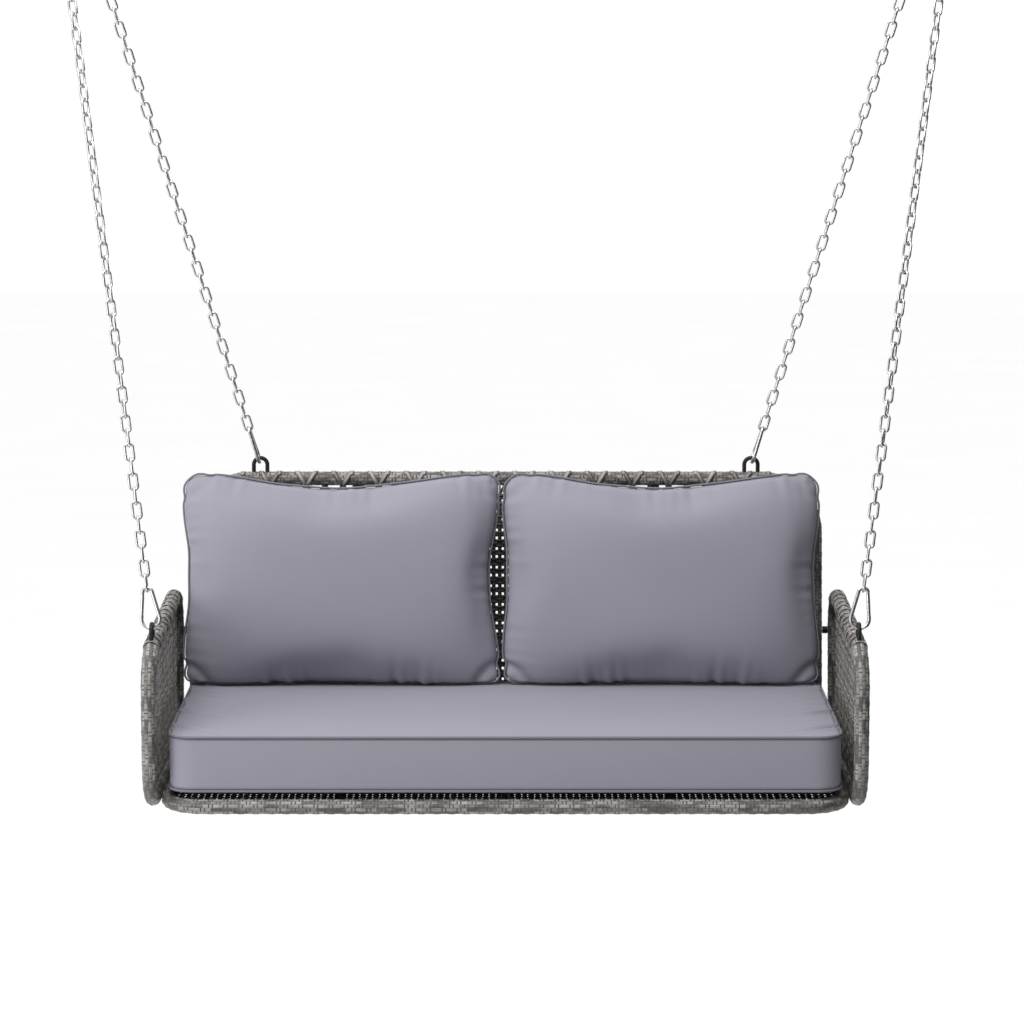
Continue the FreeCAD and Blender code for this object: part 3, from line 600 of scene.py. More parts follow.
# %% A panel woven inside a rim
STAKE_PITCH = 0.035 / 3
STRAND_THICK = 0.0017
BAND = np.array([0.0026, 0.0078, 0.0182, 0.0234, 0.0286])    # strands in one repeat
REPEAT = 0.036
STRAND_WIDTH = 0.0056
WINDOW = 0.030                  # rim centre to the first strand below it
FIRST_ROW = 0.0165              # the same on the seat, whose rows start at the front
TUCK = 0.006                    # how far short of the rim's centre a strand ends
EDGE_ROOM = 0.012               # stakes and strands nearer a rim than this are left out
REPEATS = 40                    # more than any panel holds; those past it are left out
GATHER_SHARE = 0.88             # how far stakes close up on every third one
GATHER_STAGGER = 0.0008         # and how far they then lie apart in depth


def woven_panel(name, rim, middle, stake_step, window, stake_wave, strand_wave,
                stake_width, stride, sunk):
    """Stakes and strands of one panel, middle being its distance out of the rim's plane.

    A strand's height out of the plane is wave·cos(π(stake/stride + order)), and a
    stake's is the same with the sign turned, so each passes the other on the far side.
    With a stride of 1 the order is the strand's number, and otherwise its band's.
    Stakes may lie sunk by a little, so that the strands stand out."""
    corners, radii = RIMS[rim][4:]
    loop = rounded_loop(corners, radii, LOOP_STEP)[0]
    low, high = loop.min(0), loop.max(0)
    centre_line = (low[0] + high[0]) / 2
    half_count = int((high[0] - low[0]) / 2 / STAKE_PITCH)
    stakes = np.arange(-half_count, half_count + 1)
    stake_at = centre_line + stakes * STAKE_PITCH
    inside = (stake_at > low[0] + EDGE_ROOM) & (stake_at < high[0] - EDGE_ROOM)
    stakes, stake_at = stakes[inside], stake_at[inside]
    bottom, top = spans(loop, stake_at, 0)
    repeats = np.arange(REPEATS)[:, None]
    rows = (repeats * REPEAT + BAND[None]).ravel()
    bands = (repeats * 2 + [[0, 0, 1, 1, 1]]).ravel()
    order = np.arange(len(rows)) if stride == 1 else bands
    from_front = rim == "seat"
    rows = low[1] + FIRST_ROW + rows if from_front else high[1] - window - rows
    inside = (rows > low[1] + EDGE_ROOM) & (rows < high[1] - window)
    rows, order = rows[inside], order[inside]

    share = np.linspace(0, 1, int((high[1] - low[1]) / stake_step))[None]
    start, end = bottom[:, None] + TUCK, top[:, None] - TUCK
    height = start + (end - start) * share
    below = top[:, None] - height
    gather = smooth(np.clip((window - below) / (window - EDGE_ROOM), 0, 1))
    strut = np.round(stakes / 3) * 3
    closing = (strut - stakes) * STAKE_PITCH * GATHER_SHARE
    at = stake_at[:, None] + gather * closing[:, None]
    by_height = np.argsort(rows)
    row_order = np.interp(height, rows[by_height], order[by_height])
    passing = np.round(stakes / stride)[:, None]
    stands = -np.cos(np.pi * (row_order + passing)) * (1 - gather)
    lift = (middle - sunk + stake_wave * stands
            + gather * (stakes[:, None] % 3 - 1) * GATHER_STAGGER)
    flat = np.stack([at, height], -1)
    centre = in_space(flat, rim, lift)
    across = np.broadcast_to(RIMS[rim][1], centre.shape)
    face = np.broadcast_to(RIMS[rim][3], centre.shape)
    upright = ribbons(name + "_stakes", centre, across, face, stake_width,
                      STRAND_THICK, stands)

    left, right = spans(loop, rows, 1)
    count = int((high[0] - low[0]) / (STAKE_PITCH / 2))
    share = np.linspace(0, 1, count)[None]
    start, end = left[:, None] + TUCK, right[:, None] - TUCK
    at = start + (end - start) * share
    number = (at - centre_line) / STAKE_PITCH
    stands = np.cos(np.pi * (number / stride + order[:, None]))
    flat = np.stack([at, np.broadcast_to(rows[:, None], at.shape)], -1)
    centre = in_space(flat, rim, middle + strand_wave * stands)
    across = np.broadcast_to(RIMS[rim][2], centre.shape)
    face = np.broadcast_to(RIMS[rim][3], centre.shape)
    level = ribbons(name + "_strands", centre, across, face, STRAND_WIDTH,
                    STRAND_THICK, stands)
    return upright, level


# Name, rim, CAD node, middle, step along a stake, window, stake wave, strand wave,
# stake width, stride and sinking.
BACK_MIDDLE = 0.0015
ARM_SIZES = (0.0, 0.0045, WINDOW, 0.0009, 0.0021, 0.0076, 3, 0)
PANELS = (("back", "back", "back_weave",
           BACK_MIDDLE, 0.0045, WINDOW, 0.0006, 0.0013, 0.0076, 1, 0),
          ("left_arm", "left_arm", "left_arm_weave", *ARM_SIZES),
          ("right_arm", "right_arm", "right_arm_weave", *ARM_SIZES),
          ("deck", "seat", "seat_deck",
           0.0075, 0.007, 0.022, 0.0003, 0.0013, 0.0092, 1, 0.0014))
woven = []
panels = {}
for name, rim, node, *sizes in PANELS:
    upright, level = woven_panel(name, rim, *sizes)
    for piece in (upright, level):
        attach(piece, "swing")
    panels[name] = (upright, level)
    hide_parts(node)
    print(name, "has", len(upright.data.polygons), "+", len(level.data.polygons), "faces")

# %% [markdown]
# ## Struts and forks over the top rails
# Below a top rail the stakes gather in threes.  Every second strut splits over the rail
# in front, and the others split over it behind, so forks alternate along the rail.

# %% Forks over a rail
FORK_PITCH = 0.070
FORK_SPREAD = 0.0165
FORK_WIDTH = 0.0088
FORK_LIFT = 0.0008
FORK_THICK = 0.0014
FORK_POINTS = 22
FORK_STEM = 0.18                # share of a fork that lies straight below the rail
FORK_DROP = 0.016               # length of that stem
FORK_START, FORK_SWEEP = np.radians(-80), np.radians(230)
FORK_GAP = 0.0012               # half the gap between two stems, and their depth


def forks(name, rim, middle, first, last, front):
    """Pairs of strips that part as they climb over a rail.

    The angle a goes from below the rail to past its top, at the wrap's radius, and
    each strip moves along the rail by spread·smooth((a + 90°)/180°)."""
    corners, radii = RIMS[rim][4:]
    loop = rounded_loop(corners, radii, LOOP_STEP)[0]
    side = 1 if front else -1
    centre_line = (loop[:, 0].min() + loop[:, 0].max()) / 2
    offset = 0 if front else 0.5
    numbers = np.arange(np.ceil((first - centre_line) / FORK_PITCH - offset),
                        np.floor((last - centre_line) / FORK_PITCH - offset) + 1)
    feet = np.repeat(centre_line + (numbers + offset) * FORK_PITCH, 2)
    branch = np.tile([-1.0, 1.0], len(feet) // 2)
    t = np.linspace(0, 1, FORK_POINTS)[None]
    angle = FORK_START + FORK_SWEEP * np.clip((t - FORK_STEM) / (1 - FORK_STEM), 0, 1)
    spread = smooth(np.clip((angle + np.pi / 2) / np.pi, 0, 1))
    along = feet[:, None] + branch[:, None] * (FORK_GAP + FORK_SPREAD * spread)
    rail = spans(loop, along.ravel(), 0)[1].reshape(along.shape)
    radius = WRAP_R + FORK_LIFT
    stem = np.clip(1 - t / FORK_STEM, 0, 1)
    up = radius * np.sin(angle) - stem * FORK_DROP
    out = side * radius * np.cos(angle)
    out = out * (1 - stem) + (middle + side * FORK_GAP) * stem
    centre = in_space(np.stack([along, rail + up], -1), rim,
                      np.broadcast_to(out, along.shape))
    way = unit(np.gradient(centre, axis=1))
    rise = np.broadcast_to(np.sin(angle), along.shape)
    outward = np.broadcast_to(side * np.cos(angle), along.shape)
    radial = in_space(np.stack([along * 0, rise], -1), rim, outward) - RIMS[rim][0]
    across = unit(np.cross(way, radial))
    face = np.cross(across, way)
    return ribbons(name, centre, across, face, FORK_WIDTH, FORK_THICK)


# A rim, its panel's middle, and where its forks begin and end along the top rail.
fork_rails = (("back", BACK_MIDDLE, -back_half + 0.085, back_half - 0.085),
              ("left_arm", 0.0, seat_front + 0.05, back_foot[1] - 0.01),
              ("right_arm", 0.0, seat_front + 0.05, back_foot[1] - 0.01))
for rim, middle, first, last in fork_rails:
    for front in (True, False):
        piece = forks(rim + ("_front_forks" if front else "_rear_forks"), rim, middle,
                      first, last, front)
        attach(piece, "swing")
        woven.append(piece)
print("fork pieces:", len(woven))

# %% [markdown]
# ## The strand's colour
# Weather-proof strand is drawn from mixed plastic, so one strand differs from the next
# and each is streaked along its length.  The pattern reads the strand's own UV map:
# the whole part of V numbers the strand, and U runs along it.  Where a strand dips under
# its neighbours, the stored "dip" paints the shade there, and each panel's copy is made
# darker or lighter to paint the light that panel gets.

# %% Strand materials
STRAND_SHADE = (0.010, 0.009, 0.008)
STRAND_DARK = (0.075, 0.068, 0.063)
STRAND_LIGHT = (0.315, 0.295, 0.277)


def strand_tree(name):
    """A material tree, the strand's coordinates and number, and three noises."""
    tree = Tree(name)
    uv = tree.node("ShaderNodeUVMap", {"uv_map": "strand"}).outputs["UV"]
    parts = tree.node("ShaderNodeSeparateXYZ", None, Vector=uv).outputs
    along, strand = Socket(tree, parts[0]), Socket(tree, parts[1])
    number = tree.maths("FLOOR", strand)
    streaks = tree.noise(tree.stretched(uv, (0.35, 9.0, 1.0)), 1.0, 3.0)
    grain = tree.noise(tree.stretched(uv, (1.2, 40.0, 1.0)), 1.0, 2.0)
    blotch = tree.noise(tree.place(), 22.0, 2.0)
    return tree, along, strand, number, streaks, grain, blotch


def flat_strand(name, share, depth):
    """Flat strand whose colours are a share of the plain ones, so that a panel's copy paints
    the light it gets, lighter above one and darker below;
    depth says how much painted shade a stretch gets where it dips under its neighbours."""
    tree, _, strand, number, streaks, grain, blotch = strand_tree(name)
    own = tree.number("ShaderNodeTexWhiteNoise", 0, {"noise_dimensions": "1D"}, W=number)
    tone = (streaks * 1.6 + own * 0.7 + grain * 0.5 + blotch * 0.5 - 1.15).clamp()
    edge = tree.maths("ABSOLUTE", (strand - number) * 2.0 - 1.0)
    plain = tree.mix(tone, tuple(c * share for c in STRAND_DARK),
                     tuple(c * share for c in STRAND_LIGHT))
    # Painted shade: darker where the strand dips under its neighbours and along its edges.
    dip_painted_shade = tree.attribute("dip").power(1.5) * depth
    shade = tree.maths("MAXIMUM", edge.power(4.0) * 0.7, dip_painted_shade)
    colour = tree.mix(shade, plain, STRAND_SHADE)
    height = streaks * 0.0002 + grain * 0.0001
    return tree.surface(bump=height, Base_Color=colour, Roughness=grain * 0.2 + 0.42)


# Hoops cross a bound tube at whole numbers of U.  A strip that dives under one has a
# mouth at 0.24 on each side of it, darkened with painted shade, and each strip's edges get
# painted shade too.
tree, along, strand, number, streaks, grain, blotch = strand_tree("bound_strand")
nearest = tree.maths("ROUND", along)
distance = tree.maths("ABSOLUTE", along - nearest)
weave = tree.maths("COSINE", (along + number) * float(np.pi))
cell = tree.maths("FLOOR", (along + number) * 0.5)
pair = tree.node("ShaderNodeCombineXYZ", None, X=number, Y=cell).outputs[0]
own = tree.number("ShaderNodeTexWhiteNoise", 0, {"noise_dimensions": "3D"}, Vector=pair)
edge = tree.maths("ABSOLUTE", (strand - number) * 2.0 - 1.0)
under = (weave * -4.0).clamp()
mouth = (1.0 - tree.maths("ABSOLUTE", distance - 0.24) * 9.0).clamp()
mouth_painted_shade = under * mouth * (own * 0.7 + 0.5)
# The mouths and the strips' edges get painted shade, and the same mask sinks the bump there.
hollow_and_painted_shade = tree.maths("MAXIMUM", edge.power(14.0) * 0.6, mouth_painted_shade).clamp()
tone = (streaks * 2.2 + own * 1.0 + grain * 0.6 + blotch * 0.6 - 1.85).clamp()
colour = tree.mix(hollow_and_painted_shade, tree.mix(tone, STRAND_DARK, STRAND_LIGHT), STRAND_SHADE)
height = streaks * 0.0002 + grain * 0.0001 - hollow_and_painted_shade * 0.0007
bound_strand = tree.surface(bump=height, Base_Color=colour, Roughness=grain * 0.2 + 0.42)
for piece in wraps.values():
    piece.data.materials.append(bound_strand)
# The forks' copy of the strand is lighter than the plain colours: painted light.
fork_strand = flat_strand("fork_strand", 1.2, 0.0)
for piece in woven:
    piece.data.materials.append(fork_strand)
# A panel's share of the plain colours, which paints shade on the back and the deck and light
# on the arms, and how much painted shade its dips get.
PANEL_PAINTED_LIGHT_AND_SHADE = {"back": (0.40, 0.9), "left_arm": (2.2, 0.95), "right_arm": (1.2, 0.95),
          "deck": (0.35, 0.9)}
for name, (share, depth) in PANEL_PAINTED_LIGHT_AND_SHADE.items():
    finish = flat_strand(name + "_strand", share, depth)
    for piece in panels[name]:
        piece.data.materials.append(finish)
print("strand finishes:", 2 + len(PANEL_PAINTED_LIGHT_AND_SHADE))

# %% [markdown]
# ## Cushions blown up like balloons
# A filled cushion keeps the size of its cloth: where it swells, its edges pull in, and
# its corners are left sticking out as ears.  A cloth simulation under a little air
# pressure finds that shape.  It starts from sheets already crowned, and no point may
# travel further than a cap, which stands for the filling that holds the cloth back.

# %% Blowing cloth up
CORD_ROUND = 8                  # points round a seam's cord
PRESS_SOFT = 0.004              # how softly cloth settles on what it is pressed against


def blow_up(piece, pressure, frames, stiffness, bending, cap, held=()):
    """Let air pressure move a closed cloth but not its held points, then shorten each
    point's move d to cap·tanh(d/cap)."""
    cloth = piece.modifiers.new("cloth", "CLOTH")
    settings = cloth.settings
    settings.quality = 5
    settings.mass = 0.3
    settings.use_pressure = True
    settings.uniform_pressure_force = pressure
    settings.effector_weights.gravity = 0
    settings.tension_stiffness = settings.compression_stiffness = stiffness
    settings.shear_stiffness = stiffness * 0.5
    settings.bending_stiffness = bending
    settings.air_damping = 2.0
    if len(held):
        piece.vertex_groups.new(name="held").add([int(i) for i in held], 1.0, "REPLACE")
        settings.vertex_group_mass = "held"
    cloth.collision_settings.use_collision = False
    cloth.point_cache.frame_start = 1
    cloth.point_cache.frame_end = frames
    before = read(piece.data.vertices, "co")
    for frame_number in range(1, frames + 1):
        scene.frame_set(frame_number)
    graph = bpy.context.evaluated_depsgraph_get()
    after = read(piece.evaluated_get(graph).data.vertices, "co")
    piece.modifiers.remove(cloth)
    piece.vertex_groups.clear()
    scene.frame_set(1)
    before, move = before.astype(float), after - before
    far = np.maximum(np.linalg.norm(move, axis=1, keepdims=True), 1e-9)
    return before + move * (cap * np.tanh(far / cap) / far)


def set_points(piece, points):
    """Move every point of a piece's mesh."""
    flat = np.ascontiguousarray(points, dtype=np.float32).ravel()
    piece.data.vertices.foreach_set("co", flat)
    piece.data.update()


def tube_along(name, path, radius):
    """A round cord along a closed path: centre + r·(cos a·side + sin a·up)."""
    way = unit(np.roll(path, -1, 0) - np.roll(path, 1, 0))
    side = path - path.mean(0)
    side = unit(side - (side * way).sum(1, keepdims=True) * way)
    up = np.cross(way, side)
    angle = np.arange(CORD_ROUND) * 2 * np.pi / CORD_ROUND
    ring = path[:, None] + radius * (np.cos(angle)[None, :, None] * side[:, None]
                                     + np.sin(angle)[None, :, None] * up[:, None])
    faces = grid_faces(len(path), CORD_ROUND, True, True)[0]
    return facing_out(mesh_object(name, ring, faces))


# %% Sheets of cloth as grids
def sheet_grid(width, height, step, corner):
    """Flat grid coordinates X and Y of a sheet with rounded corners, and two shares
    from -1 to 1 across it.

    Inside a corner square of side r, a point's larger offset turns the square into a
    quarter circle: both offsets are scaled by max(dx, dy)/√(dx² + dy²)."""
    across = np.linspace(-1, 1, int(width / step) + 1)
    up = np.linspace(-1, 1, int(height / step) + 1)
    share_x, share_y = np.meshgrid(across, up, indexing="ij")
    x, y = share_x * width / 2, share_y * height / 2
    dx = np.maximum(abs(x) - (width / 2 - corner), 0)
    dy = np.maximum(abs(y) - (height / 2 - corner), 0)
    scale = np.maximum(dx, dy) / np.maximum(np.hypot(dx, dy), 1e-9)
    both = (dx > 0) & (dy > 0)
    x = np.where(both, np.sign(x) * (width / 2 - corner + dx * scale), x)
    y = np.where(both, np.sign(y) * (height / 2 - corner + dy * scale), y)
    return x, y, share_x, share_y


def grid_quads(grid, turned=False):
    """The quads of a grid of point numbers, wound the other way round if turned."""
    quad = np.stack([grid[:-1, :-1], grid[1:, :-1], grid[1:, 1:], grid[:-1, 1:]], -1)
    quad = quad.reshape(-1, 4)
    return quad[:, ::-1] if turned else quad


def edge_of(grid):
    """The point numbers round a grid's edge, in order."""
    return np.concatenate([grid[:-1, 0], grid[-1, :-1], grid[:0:-1, -1], grid[0, :0:-1]])


def fit(points, half):
    """Scale points about the middle of their box so that the box has these half sizes."""
    low, high = points.min(0), points.max(0)
    return (points - (low + high) / 2) * (2 * np.array(half) / (high - low))


def stored(piece, name):
    """The numbers that store() keeps with a mesh's points."""
    return read(piece.data.attributes[name].data, "value", width=1).ravel().astype(float)


def points_of(piece):
    """Every point of a mesh."""
    return read(piece.data.vertices, "co").astype(float)


def smooth_once(piece):
    """One level of subdivision, applied."""
    piece.modifiers.new("finer", "SUBSURF").levels = 1
    graph = bpy.context.evaluated_depsgraph_get()
    finer = bpy.data.meshes.new_from_object(piece.evaluated_get(graph))
    piece.modifiers.clear()
    piece.data = finer
    finer.polygons.foreach_set("use_smooth", np.ones(len(finer.polygons), dtype=bool))
    return piece


# %% Gathers beside a seam
def gathers(run, seed, wave=0.040):
    """An uneven ripple along a seam: the mean of four sines whose wavelengths are not
    in step, times a slower sine that makes it come and go."""
    ratios = np.array([1.0, 0.618, 1.414, 2.236])
    starts = np.array([0.7, 2.1, 4.4, 5.9]) * (1 + seed)
    turns = run[..., None] * 2 * np.pi / (wave * ratios) + starts
    strength = 0.45 + 0.55 * np.sin(run * 2 * np.pi / (wave * 6.3) + 9 * seed)
    return np.sin(turns).mean(-1) * 2.0 * strength


def normals_of(piece):
    """The outward direction at every point of a mesh."""
    return read(piece.data.vertices, "normal").astype(float)


# %% Knife-edge back cushions
PILLOW_STEP = 0.0085
PILLOW_CORNER = 0.036
PILLOW_CROWN = 0.060
PILLOW_CAP = 0.050
PILLOW_HALF_X = 0.3045
PILLOW_HEIGHT = 0.418           # seam to seam, before it is pressed on the seat
SHEET_WIDE, SHEET_HIGH = 2.06, 1.05     # sheet before blowing up, over half width, height
PILLOW_AIR = {"pressure": 5.0, "frames": 20, "stiffness": 18.0, "bending": 4.0,
              "cap": PILLOW_CAP}
PILLOW_DEPTH = 0.140
PILLOW_REST = 0.0008            # lowest point above the seat cushion's frame box
PILLOW_TOP = 0.004              # highest ear above the frame's cushion
CORD_R = 0.0021
SAG = 0.024                     # how far the lower seam settles between its corners
SOFTEN = 18                     # passes that even out small buckles
EAR = 0.046                     # size of the ears at the corners
EAR_PINCH = 0.007
EAR_CREASE = 0.42
CREASE_WIDTH = 0.011
UPPER_CREASE = 0.45             # depth of the creases at the upper ears over the lower
GATHER_DEPTH = 0.0022
GATHER_REACH = 0.030
GATHER_RISE = 0.008             # a ripple reaches full depth this far from its edge
# How far the two side seams are let out between the ears, and how far off centre each
# cushion is set down.
WAISTS = {"left": (0.009, -0.005), "right": (0.013, 0.009)}
PILLOW_SHIFT = {"left": -0.007, "right": -0.010}


def pillow_sheets(width, height):
    """Two crowned sheets sharing their edge: z = ±crown·((1 − X⁴)(1 − Y⁴))^0.6."""
    x, y, across, up = sheet_grid(width, height, PILLOW_STEP, PILLOW_CORNER)
    crown = PILLOW_CROWN * ((1 - across ** 4) * (1 - up ** 4)) ** 0.6
    front = np.arange(x.size).reshape(x.shape)
    inner = np.zeros(x.shape, bool)
    inner[1:-1, 1:-1] = True
    back = front.copy()
    back[inner] = x.size + np.arange(inner.sum())
    points = np.concatenate([np.stack([x, y, crown], -1).reshape(-1, 3),
                             np.stack([x, y, -crown], -1)[inner]])
    faces = np.concatenate([grid_quads(front), grid_quads(back, True)])
    shares = [np.concatenate([share.ravel(), share[inner]]) for share in (across, up)]
    return points, faces, front, back, shares


def evened(move, grid):
    """A grid of moves blurred by 1-2-1 steps both ways, its edge rows kept in reach."""
    field = move[grid]
    for _ in range(SOFTEN):
        for axis in (0, 1):
            border = [(1, 1) if k == axis else (0, 0) for k in range(3)]
            wide = np.pad(field, border, "edge")
            behind = np.arange(wide.shape[axis] - 2)
            field = (wide.take(behind + 2, axis) + 2 * field
                     + wide.take(behind, axis)) / 4
    return field


def edge_ripple(x, y, half_x, half_y):
    """Ripples square to the nearest edges that fade as e^(−distance/reach) and vanish
    on the edge itself: for each edge the way along it, the distance from it, a seed
    and a share of the depth."""
    ripple = np.zeros(x.shape)
    for run, far, seed, share in ((x, half_y - y, 0.1, 1.0), (x, half_y + y, 0.5, 1.8),
                                  (y, half_x - x, 0.9, 0.8), (y, half_x + x, 1.3, 0.8)):
        fade = np.exp(-far / GATHER_REACH) * np.clip(far / GATHER_RISE, 0, 1)
        ripple += gathers(run, seed) * fade * share
    return ripple * GATHER_DEPTH


def with_ears(points, across, up, width, height):
    """Pinch the cloth round each corner: a crease e^(−((d − ear)/width)²), d being the
    flat distance to the corner, thins the cushion and draws its seam in."""
    distance = np.hypot(width / 2 * (1 - abs(across)), height / 2 * (1 - abs(up)))
    crease = np.exp(-((distance - EAR) / CREASE_WIDTH) ** 2)
    crease *= np.where(up < 0, 1.0, UPPER_CREASE)
    near_seam = np.maximum(abs(across), abs(up)) ** 10
    points = points.copy()
    points[:, 0] -= np.sign(across) * EAR_PINCH * crease * near_seam
    points[:, 1] -= np.sign(up) * EAR_PINCH * crease * near_seam
    points[:, 2] *= 1 - EAR_CREASE * crease
    return points


def pressed(height, floor_height):
    """Heights kept above a floor: floor + soft·ln(1 + e^((height − floor)/soft))."""
    over = (height - floor_height) / PRESS_SOFT
    return floor_height + PRESS_SOFT * np.logaddexp(0, over)


def pillow(side):
    """One back cushion: blown up lying flat, fitted to its place, leant, pressed on the
    seat cushion and corded."""
    name = "back_cushion_" + side
    low, high = box_of(name + "_cover")
    middle = (low + high) / 2 + [PILLOW_SHIFT[side], 0, 0]
    width, height = PILLOW_HALF_X * SHEET_WIDE, PILLOW_HEIGHT * SHEET_HIGH
    flat, faces, front, back, (across, up) = pillow_sheets(width, height)
    edge = edge_of(front)
    piece = facing_out(mesh_object(name + "_pillow", flat, faces))
    move = blow_up(piece, **PILLOW_AIR) - flat
    even = np.empty_like(move)
    even[back] = evened(move, back)
    even[front] = evened(move, front)
    points = flat + even
    points[:, 1] -= SAG * (1 - across ** 2) * np.clip(-up, 0, 1) ** 2
    waist = np.where(across < 0, *WAISTS[side])
    points[:, 0] += np.sign(across) * waist * (1 - up ** 2) * across ** 2
    points = with_ears(points, across, up, width, height)
    points = fit(points, (PILLOW_HALF_X - CORD_R, PILLOW_HEIGHT / 2, PILLOW_DEPTH / 2))
    placed = (middle + points[:, :1] * X_AXIS + points[:, 1:2] * back_up
              + points[:, 2:] * back_out)
    placed[:, 2] += high[2] + PILLOW_TOP - placed[:, 2].max()
    rest = box_of("seat_cushion_cover")[1][2] + PILLOW_REST
    placed[:, 2] = pressed(placed[:, 2], rest + CORD_R)
    set_points(piece, placed)
    facing_out(piece)
    cord = tube_along(name + "_cord", placed[edge], CORD_R)
    # Seam points, for the painted shade along the seams.
    seam = np.zeros(len(placed))
    seam[edge] = 1
    for key, values in (("across", across), ("up", up), ("seam", seam)):
        store(piece, key, values)
    smooth_once(piece)
    ripple = edge_ripple(stored(piece, "across") * width / 2,
                         stored(piece, "up") * height / 2, width / 2, height / 2)
    points = points_of(piece) + normals_of(piece) * ripple[:, None]
    points[:, 2] = np.maximum(points[:, 2], rest)
    set_points(piece, points)
    for part in (piece, cord):
        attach(part, name)
    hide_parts(name + "_cover", name + "_fill")
    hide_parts(name + "_piping")
    return piece, cord


pillows = [pillow("left"), pillow("right")]
print("back cushions:", [len(pair[0].data.polygons) for pair in pillows], "faces")

# %% [markdown]
# ## A box cushion
# The seat cushion has a top, a bottom and a band between them, with a cord in each
# seam.  Its foam keeps it square, so the cloth only swells by a little.

# %% Seat cushion
SEAT_STEP = 0.0095
SEAT_CAP = 0.004
SEAT_CROWN = 0.004
SEAT_BELLY = 0.010
SEAT_SEAMS = 0.098              # from the lower seam up to the upper
SEAT_CORNER = 0.045
SEAT_CORD_R = 0.0024
SEAT_AIR = {"pressure": 4.0, "frames": 14, "stiffness": 20.0, "bending": 2.0,
            "cap": SEAT_CAP}
PLEAT_SEED = 0.3
PLEAT_WAVE = 0.0200
PLEAT_DEPTH = 0.0085
PLEAT_REACH = 0.040
PLEAT_RISE = 0.007              # a pleat reaches full depth this far from its seam
PLEAT_SLANT = 0.6               # how far pleats run along the seam over across it


def box_sheets(width, depth, thick):
    """Top and bottom sheets joined by rings of points: points, faces and both seams.

    A sheet's crown is (1 − X⁸)(1 − Y⁴) in its front half and (1 − X⁸)(1 − Y¹⁶) in
    its rear half."""
    x, y, across, along = sheet_grid(width, depth, SEAT_STEP, SEAT_CORNER)
    fall = np.where(along < 0, along ** 4, along ** 16)
    crown = (1 - across ** 8) * (1 - fall)
    top = np.arange(x.size).reshape(x.shape)
    bottom = top + x.size
    upper, lower = edge_of(top), edge_of(bottom)
    points = np.concatenate([
        np.stack([x, y, thick / 2 + SEAT_CROWN * crown], -1).reshape(-1, 3),
        np.stack([x, y, -thick / 2 - SEAT_BELLY * crown], -1).reshape(-1, 3)])
    steps = int(thick / SEAT_STEP)
    share = (np.arange(1, steps) / steps)[:, None, None]
    band = points[upper] * (1 - share) + points[lower] * share
    between = 2 * x.size + np.arange(band[..., 0].size).reshape(band.shape[:2])
    rings = np.concatenate([upper[None], between, lower[None]])
    rings = np.concatenate([rings, rings[:, :1]], 1)
    faces = np.concatenate([grid_quads(top), grid_quads(bottom, True), grid_quads(rings)])
    return np.concatenate([points, band.reshape(-1, 3)]), faces, upper, lower


def pleat(piece, half_width):
    """Pleats beside the two end seams of the top, fading as e^(−distance/reach)."""
    points = points_of(piece)
    far = np.clip(half_width - abs(points[:, 0]), 0, None)
    fade = np.exp(-far / PLEAT_REACH) * np.clip(far / PLEAT_RISE, 0, 1)
    outward = normals_of(piece)
    slant = points[:, 1] + far * PLEAT_SLANT
    depth = gathers(slant, PLEAT_SEED, PLEAT_WAVE) * fade * PLEAT_DEPTH
    depth *= np.clip(outward[:, 2], 0, 1)
    set_points(piece, points + outward * depth[:, None])


low, high = box_of("seat_cushion_cover")
size = high - low
points, faces, upper, lower = box_sheets(size[0] - 2 * SEAT_CORD_R,
                                         size[1] - 2 * SEAT_CORD_R, SEAT_SEAMS)
seat = facing_out(mesh_object("seat_cushion_box", points, faces))
grown = blow_up(seat, held=np.concatenate([upper, lower]), **SEAT_AIR)
reach = np.minimum(1, size / (grown.max(0) - grown.min(0)))
grown[:, :2] *= reach[:2]
grown += (low + high) / 2
grown[:, 2] += high[2] - grown[:, 2].max()
grown[:, 2] = pressed(grown[:, 2], low[2] + 0.001)
set_points(seat, grown)
print("room round the seat cushion:", np.round(grown.min(0) - low, 4),
      np.round(high - grown.max(0), 4))
seat_cords = [tube_along("seat_cushion_upper_cord", grown[upper], SEAT_CORD_R),
              tube_along("seat_cushion_lower_cord", grown[lower], SEAT_CORD_R)]
# Seam points, for the painted shade along the seams.
seam = np.zeros(len(grown))
seam[upper] = seam[lower] = 1
store(seat, "seam", seam)
smooth_once(seat)
pleat(seat, size[0] / 2)
for part in [seat] + seat_cords:
    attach(part, "seat_cushion")
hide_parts("seat_cushion_cover", "seat_cushion_foam")
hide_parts("seat_cushion_piping")
print("seat cushion:", len(seat.data.polygons), "faces")

# %% [markdown]
# ## Chain links redrawn lightly
# Every link of the frame's chains is worked out again as a small ring of about a
# hundred faces.  A link's long, wide and thin directions are the principal directions of its
# points, which the singular value decomposition of their spread gives.

# %% Links
LINK_R = 0.0025
LINK_BEND = 0.0075              # middle of the wire in a link's bends
LINK_STRAIGHT = 0.0085          # half of a straight side
LINK_ROUND = 16                 # points round a link, and then round its wire
WIRE_ROUND = 7


def connected(points, triangles):
    """A number for every triangle, the same for all triangles of one connected part.

    Each point starts with its own number and takes the least one it meets, again and
    again, until nothing changes."""
    same = np.unique(np.round(points, 6), axis=0, return_inverse=True)[1].ravel()
    corner = same[triangles]
    label = np.arange(same.max() + 1)
    while True:
        least = label[corner].min(1)
        lower = label.copy()
        for column in corner.T:
            np.minimum.at(lower, column, least)
        lower = lower[lower]
        if (lower == label).all():
            return np.unique(label[corner[:, 0]], return_inverse=True)[1].ravel()
        label = lower


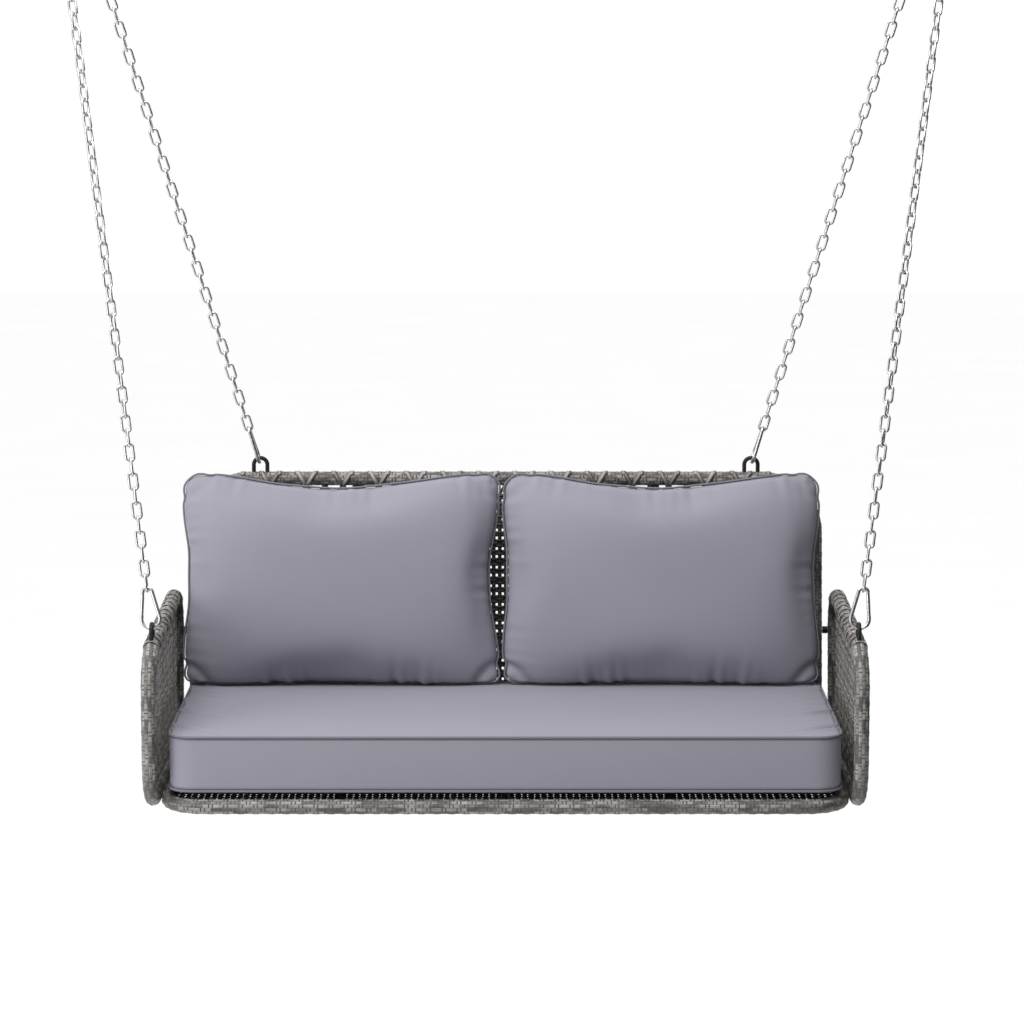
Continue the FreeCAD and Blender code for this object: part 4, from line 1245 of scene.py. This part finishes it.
def light_chain(node):
    """All links of one chain: centre + long·(±straight + bend·sin a) + wide·bend·cos a,
    with the wire's circle carried round that path."""
    mesh = nodes[node].data
    mesh.calc_loop_triangles()
    points = read(mesh.vertices, "co").astype(float)
    triangles = read(mesh.loop_triangles, "vertices", np.int32)
    part = connected(points, triangles)
    a, b, c = points[triangles.T]
    area = np.linalg.norm(np.cross(b - a, c - a), axis=1)[:, None]
    triangle = (a + b + c) / 3
    count = part.max() + 1
    middle, whole = np.zeros((count, 3)), np.zeros((count, 1))
    spread = np.zeros((count, 3, 3))
    np.add.at(middle, part, triangle * area)
    np.add.at(whole, part, area)
    middle /= whole
    away = triangle - middle[part]
    np.add.at(spread, part, area[..., None] * away[:, :, None] * away[:, None])
    axes = np.linalg.svd(spread)[2]
    longest, wide, thin = (axes[:, k][:, None, None] for k in range(3))
    angle = (np.arange(LINK_ROUND) + 0.5) * 2 * np.pi / LINK_ROUND
    cos, sin = np.cos(angle)[None, :, None, None], np.sin(angle)[None, :, None, None]
    turn = np.arange(WIRE_ROUND) * 2 * np.pi / WIRE_ROUND
    out, level = np.cos(turn)[None, None, :, None], np.sin(turn)[None, None, :, None]
    reach = LINK_BEND + LINK_R * out
    link = (middle[:, None, None] + longest * (np.sign(sin) * LINK_STRAIGHT + reach * sin)
            + wide * (reach * cos) + thin * LINK_R * level)
    faces = grid_faces(LINK_ROUND, WIRE_ROUND, True, True)[0]
    first = np.arange(count)[:, None, None] * LINK_ROUND * WIRE_ROUND
    return mesh_object(node + "_links", link, (first + faces).reshape(-1, 4)), count


for node in sorted(n for n in nodes if "_chain_" in n):
    piece, count = light_chain(node)
    print(node, "has", count, "links")
    facing_out(piece)
    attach(piece, "swing")
    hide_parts(node)
    piece.data.materials.append(zinc)

# %% [markdown]
# ## The cushions' cloth
# A plain weave shows as fine streaks of lighter and darker yarn.  The pattern is read
# from the cloth's place in space, and the "seam" number kept with each point paints
# shade beside the seams.  The cords are a darker copy of the cloth, which paints their
# shade.

# %% Cushion cloth
FABRIC = (0.225, 0.220, 0.262)


def cushion_cloth(name, shade):
    """Plain woven cloth whose colour is a share of the fabric's, a share below one painting
    shade, with painted shade in its seams.
    """
    tree = Tree(name)
    place = tree.place()
    weft = tree.noise(tree.stretched(place, (900.0, 900.0, 3600.0)), 1.0, 1.0)
    slub = tree.noise(tree.stretched(place, (260.0, 260.0, 1400.0)), 1.0, 2.0)
    broad = tree.noise(place, 5.0, 2.0)
    tone = (weft * 0.35 + slub * 0.3 + broad * 0.35).clamp()
    low_colour = tuple(c * shade * 0.9 for c in FABRIC)
    high_colour = tuple(c * shade * 1.1 for c in FABRIC)
    # Painted shade beside the seams.
    seam = tree.attribute("seam").power(2.5)
    colour = tree.mix(seam * 0.75, tree.mix(tone, low_colour, high_colour),
                      (0.02, 0.02, 0.024))
    return tree.surface(bump=weft * 0.00006 + slub * 0.00005, Base_Color=colour,
                        Roughness=0.8, Sheen_Weight=0.1, Sheen_Roughness=0.4)


cloth_material = cushion_cloth("cushion_cloth", 1.0)
# The cords are the cushions' cloth darkened: painted shade.
cord_material = cushion_cloth("cushion_cord_painted_shade", 0.62)
for piece in [pair[0] for pair in pillows] + [seat]:
    piece.data.materials.append(cloth_material)
for piece in [pair[1] for pair in pillows] + seat_cords:
    piece.data.materials.append(cord_material)
dress([n for n in nodes if "cushion" in n], cloth_material)
print("cushion pieces dressed:", 2 * len(pillows) + 1 + len(seat_cords))

# %% [markdown]
# ## Both sizes
# The box round the frame's own solids and the box round all that shows are kept side
# by side.

# %% Both sizes side by side
visual_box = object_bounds()
sizes = {"cad": [list(map(float, corner)) for corner in cad_box],
         "visual": [list(map(float, corner)) for corner in visual_box]}
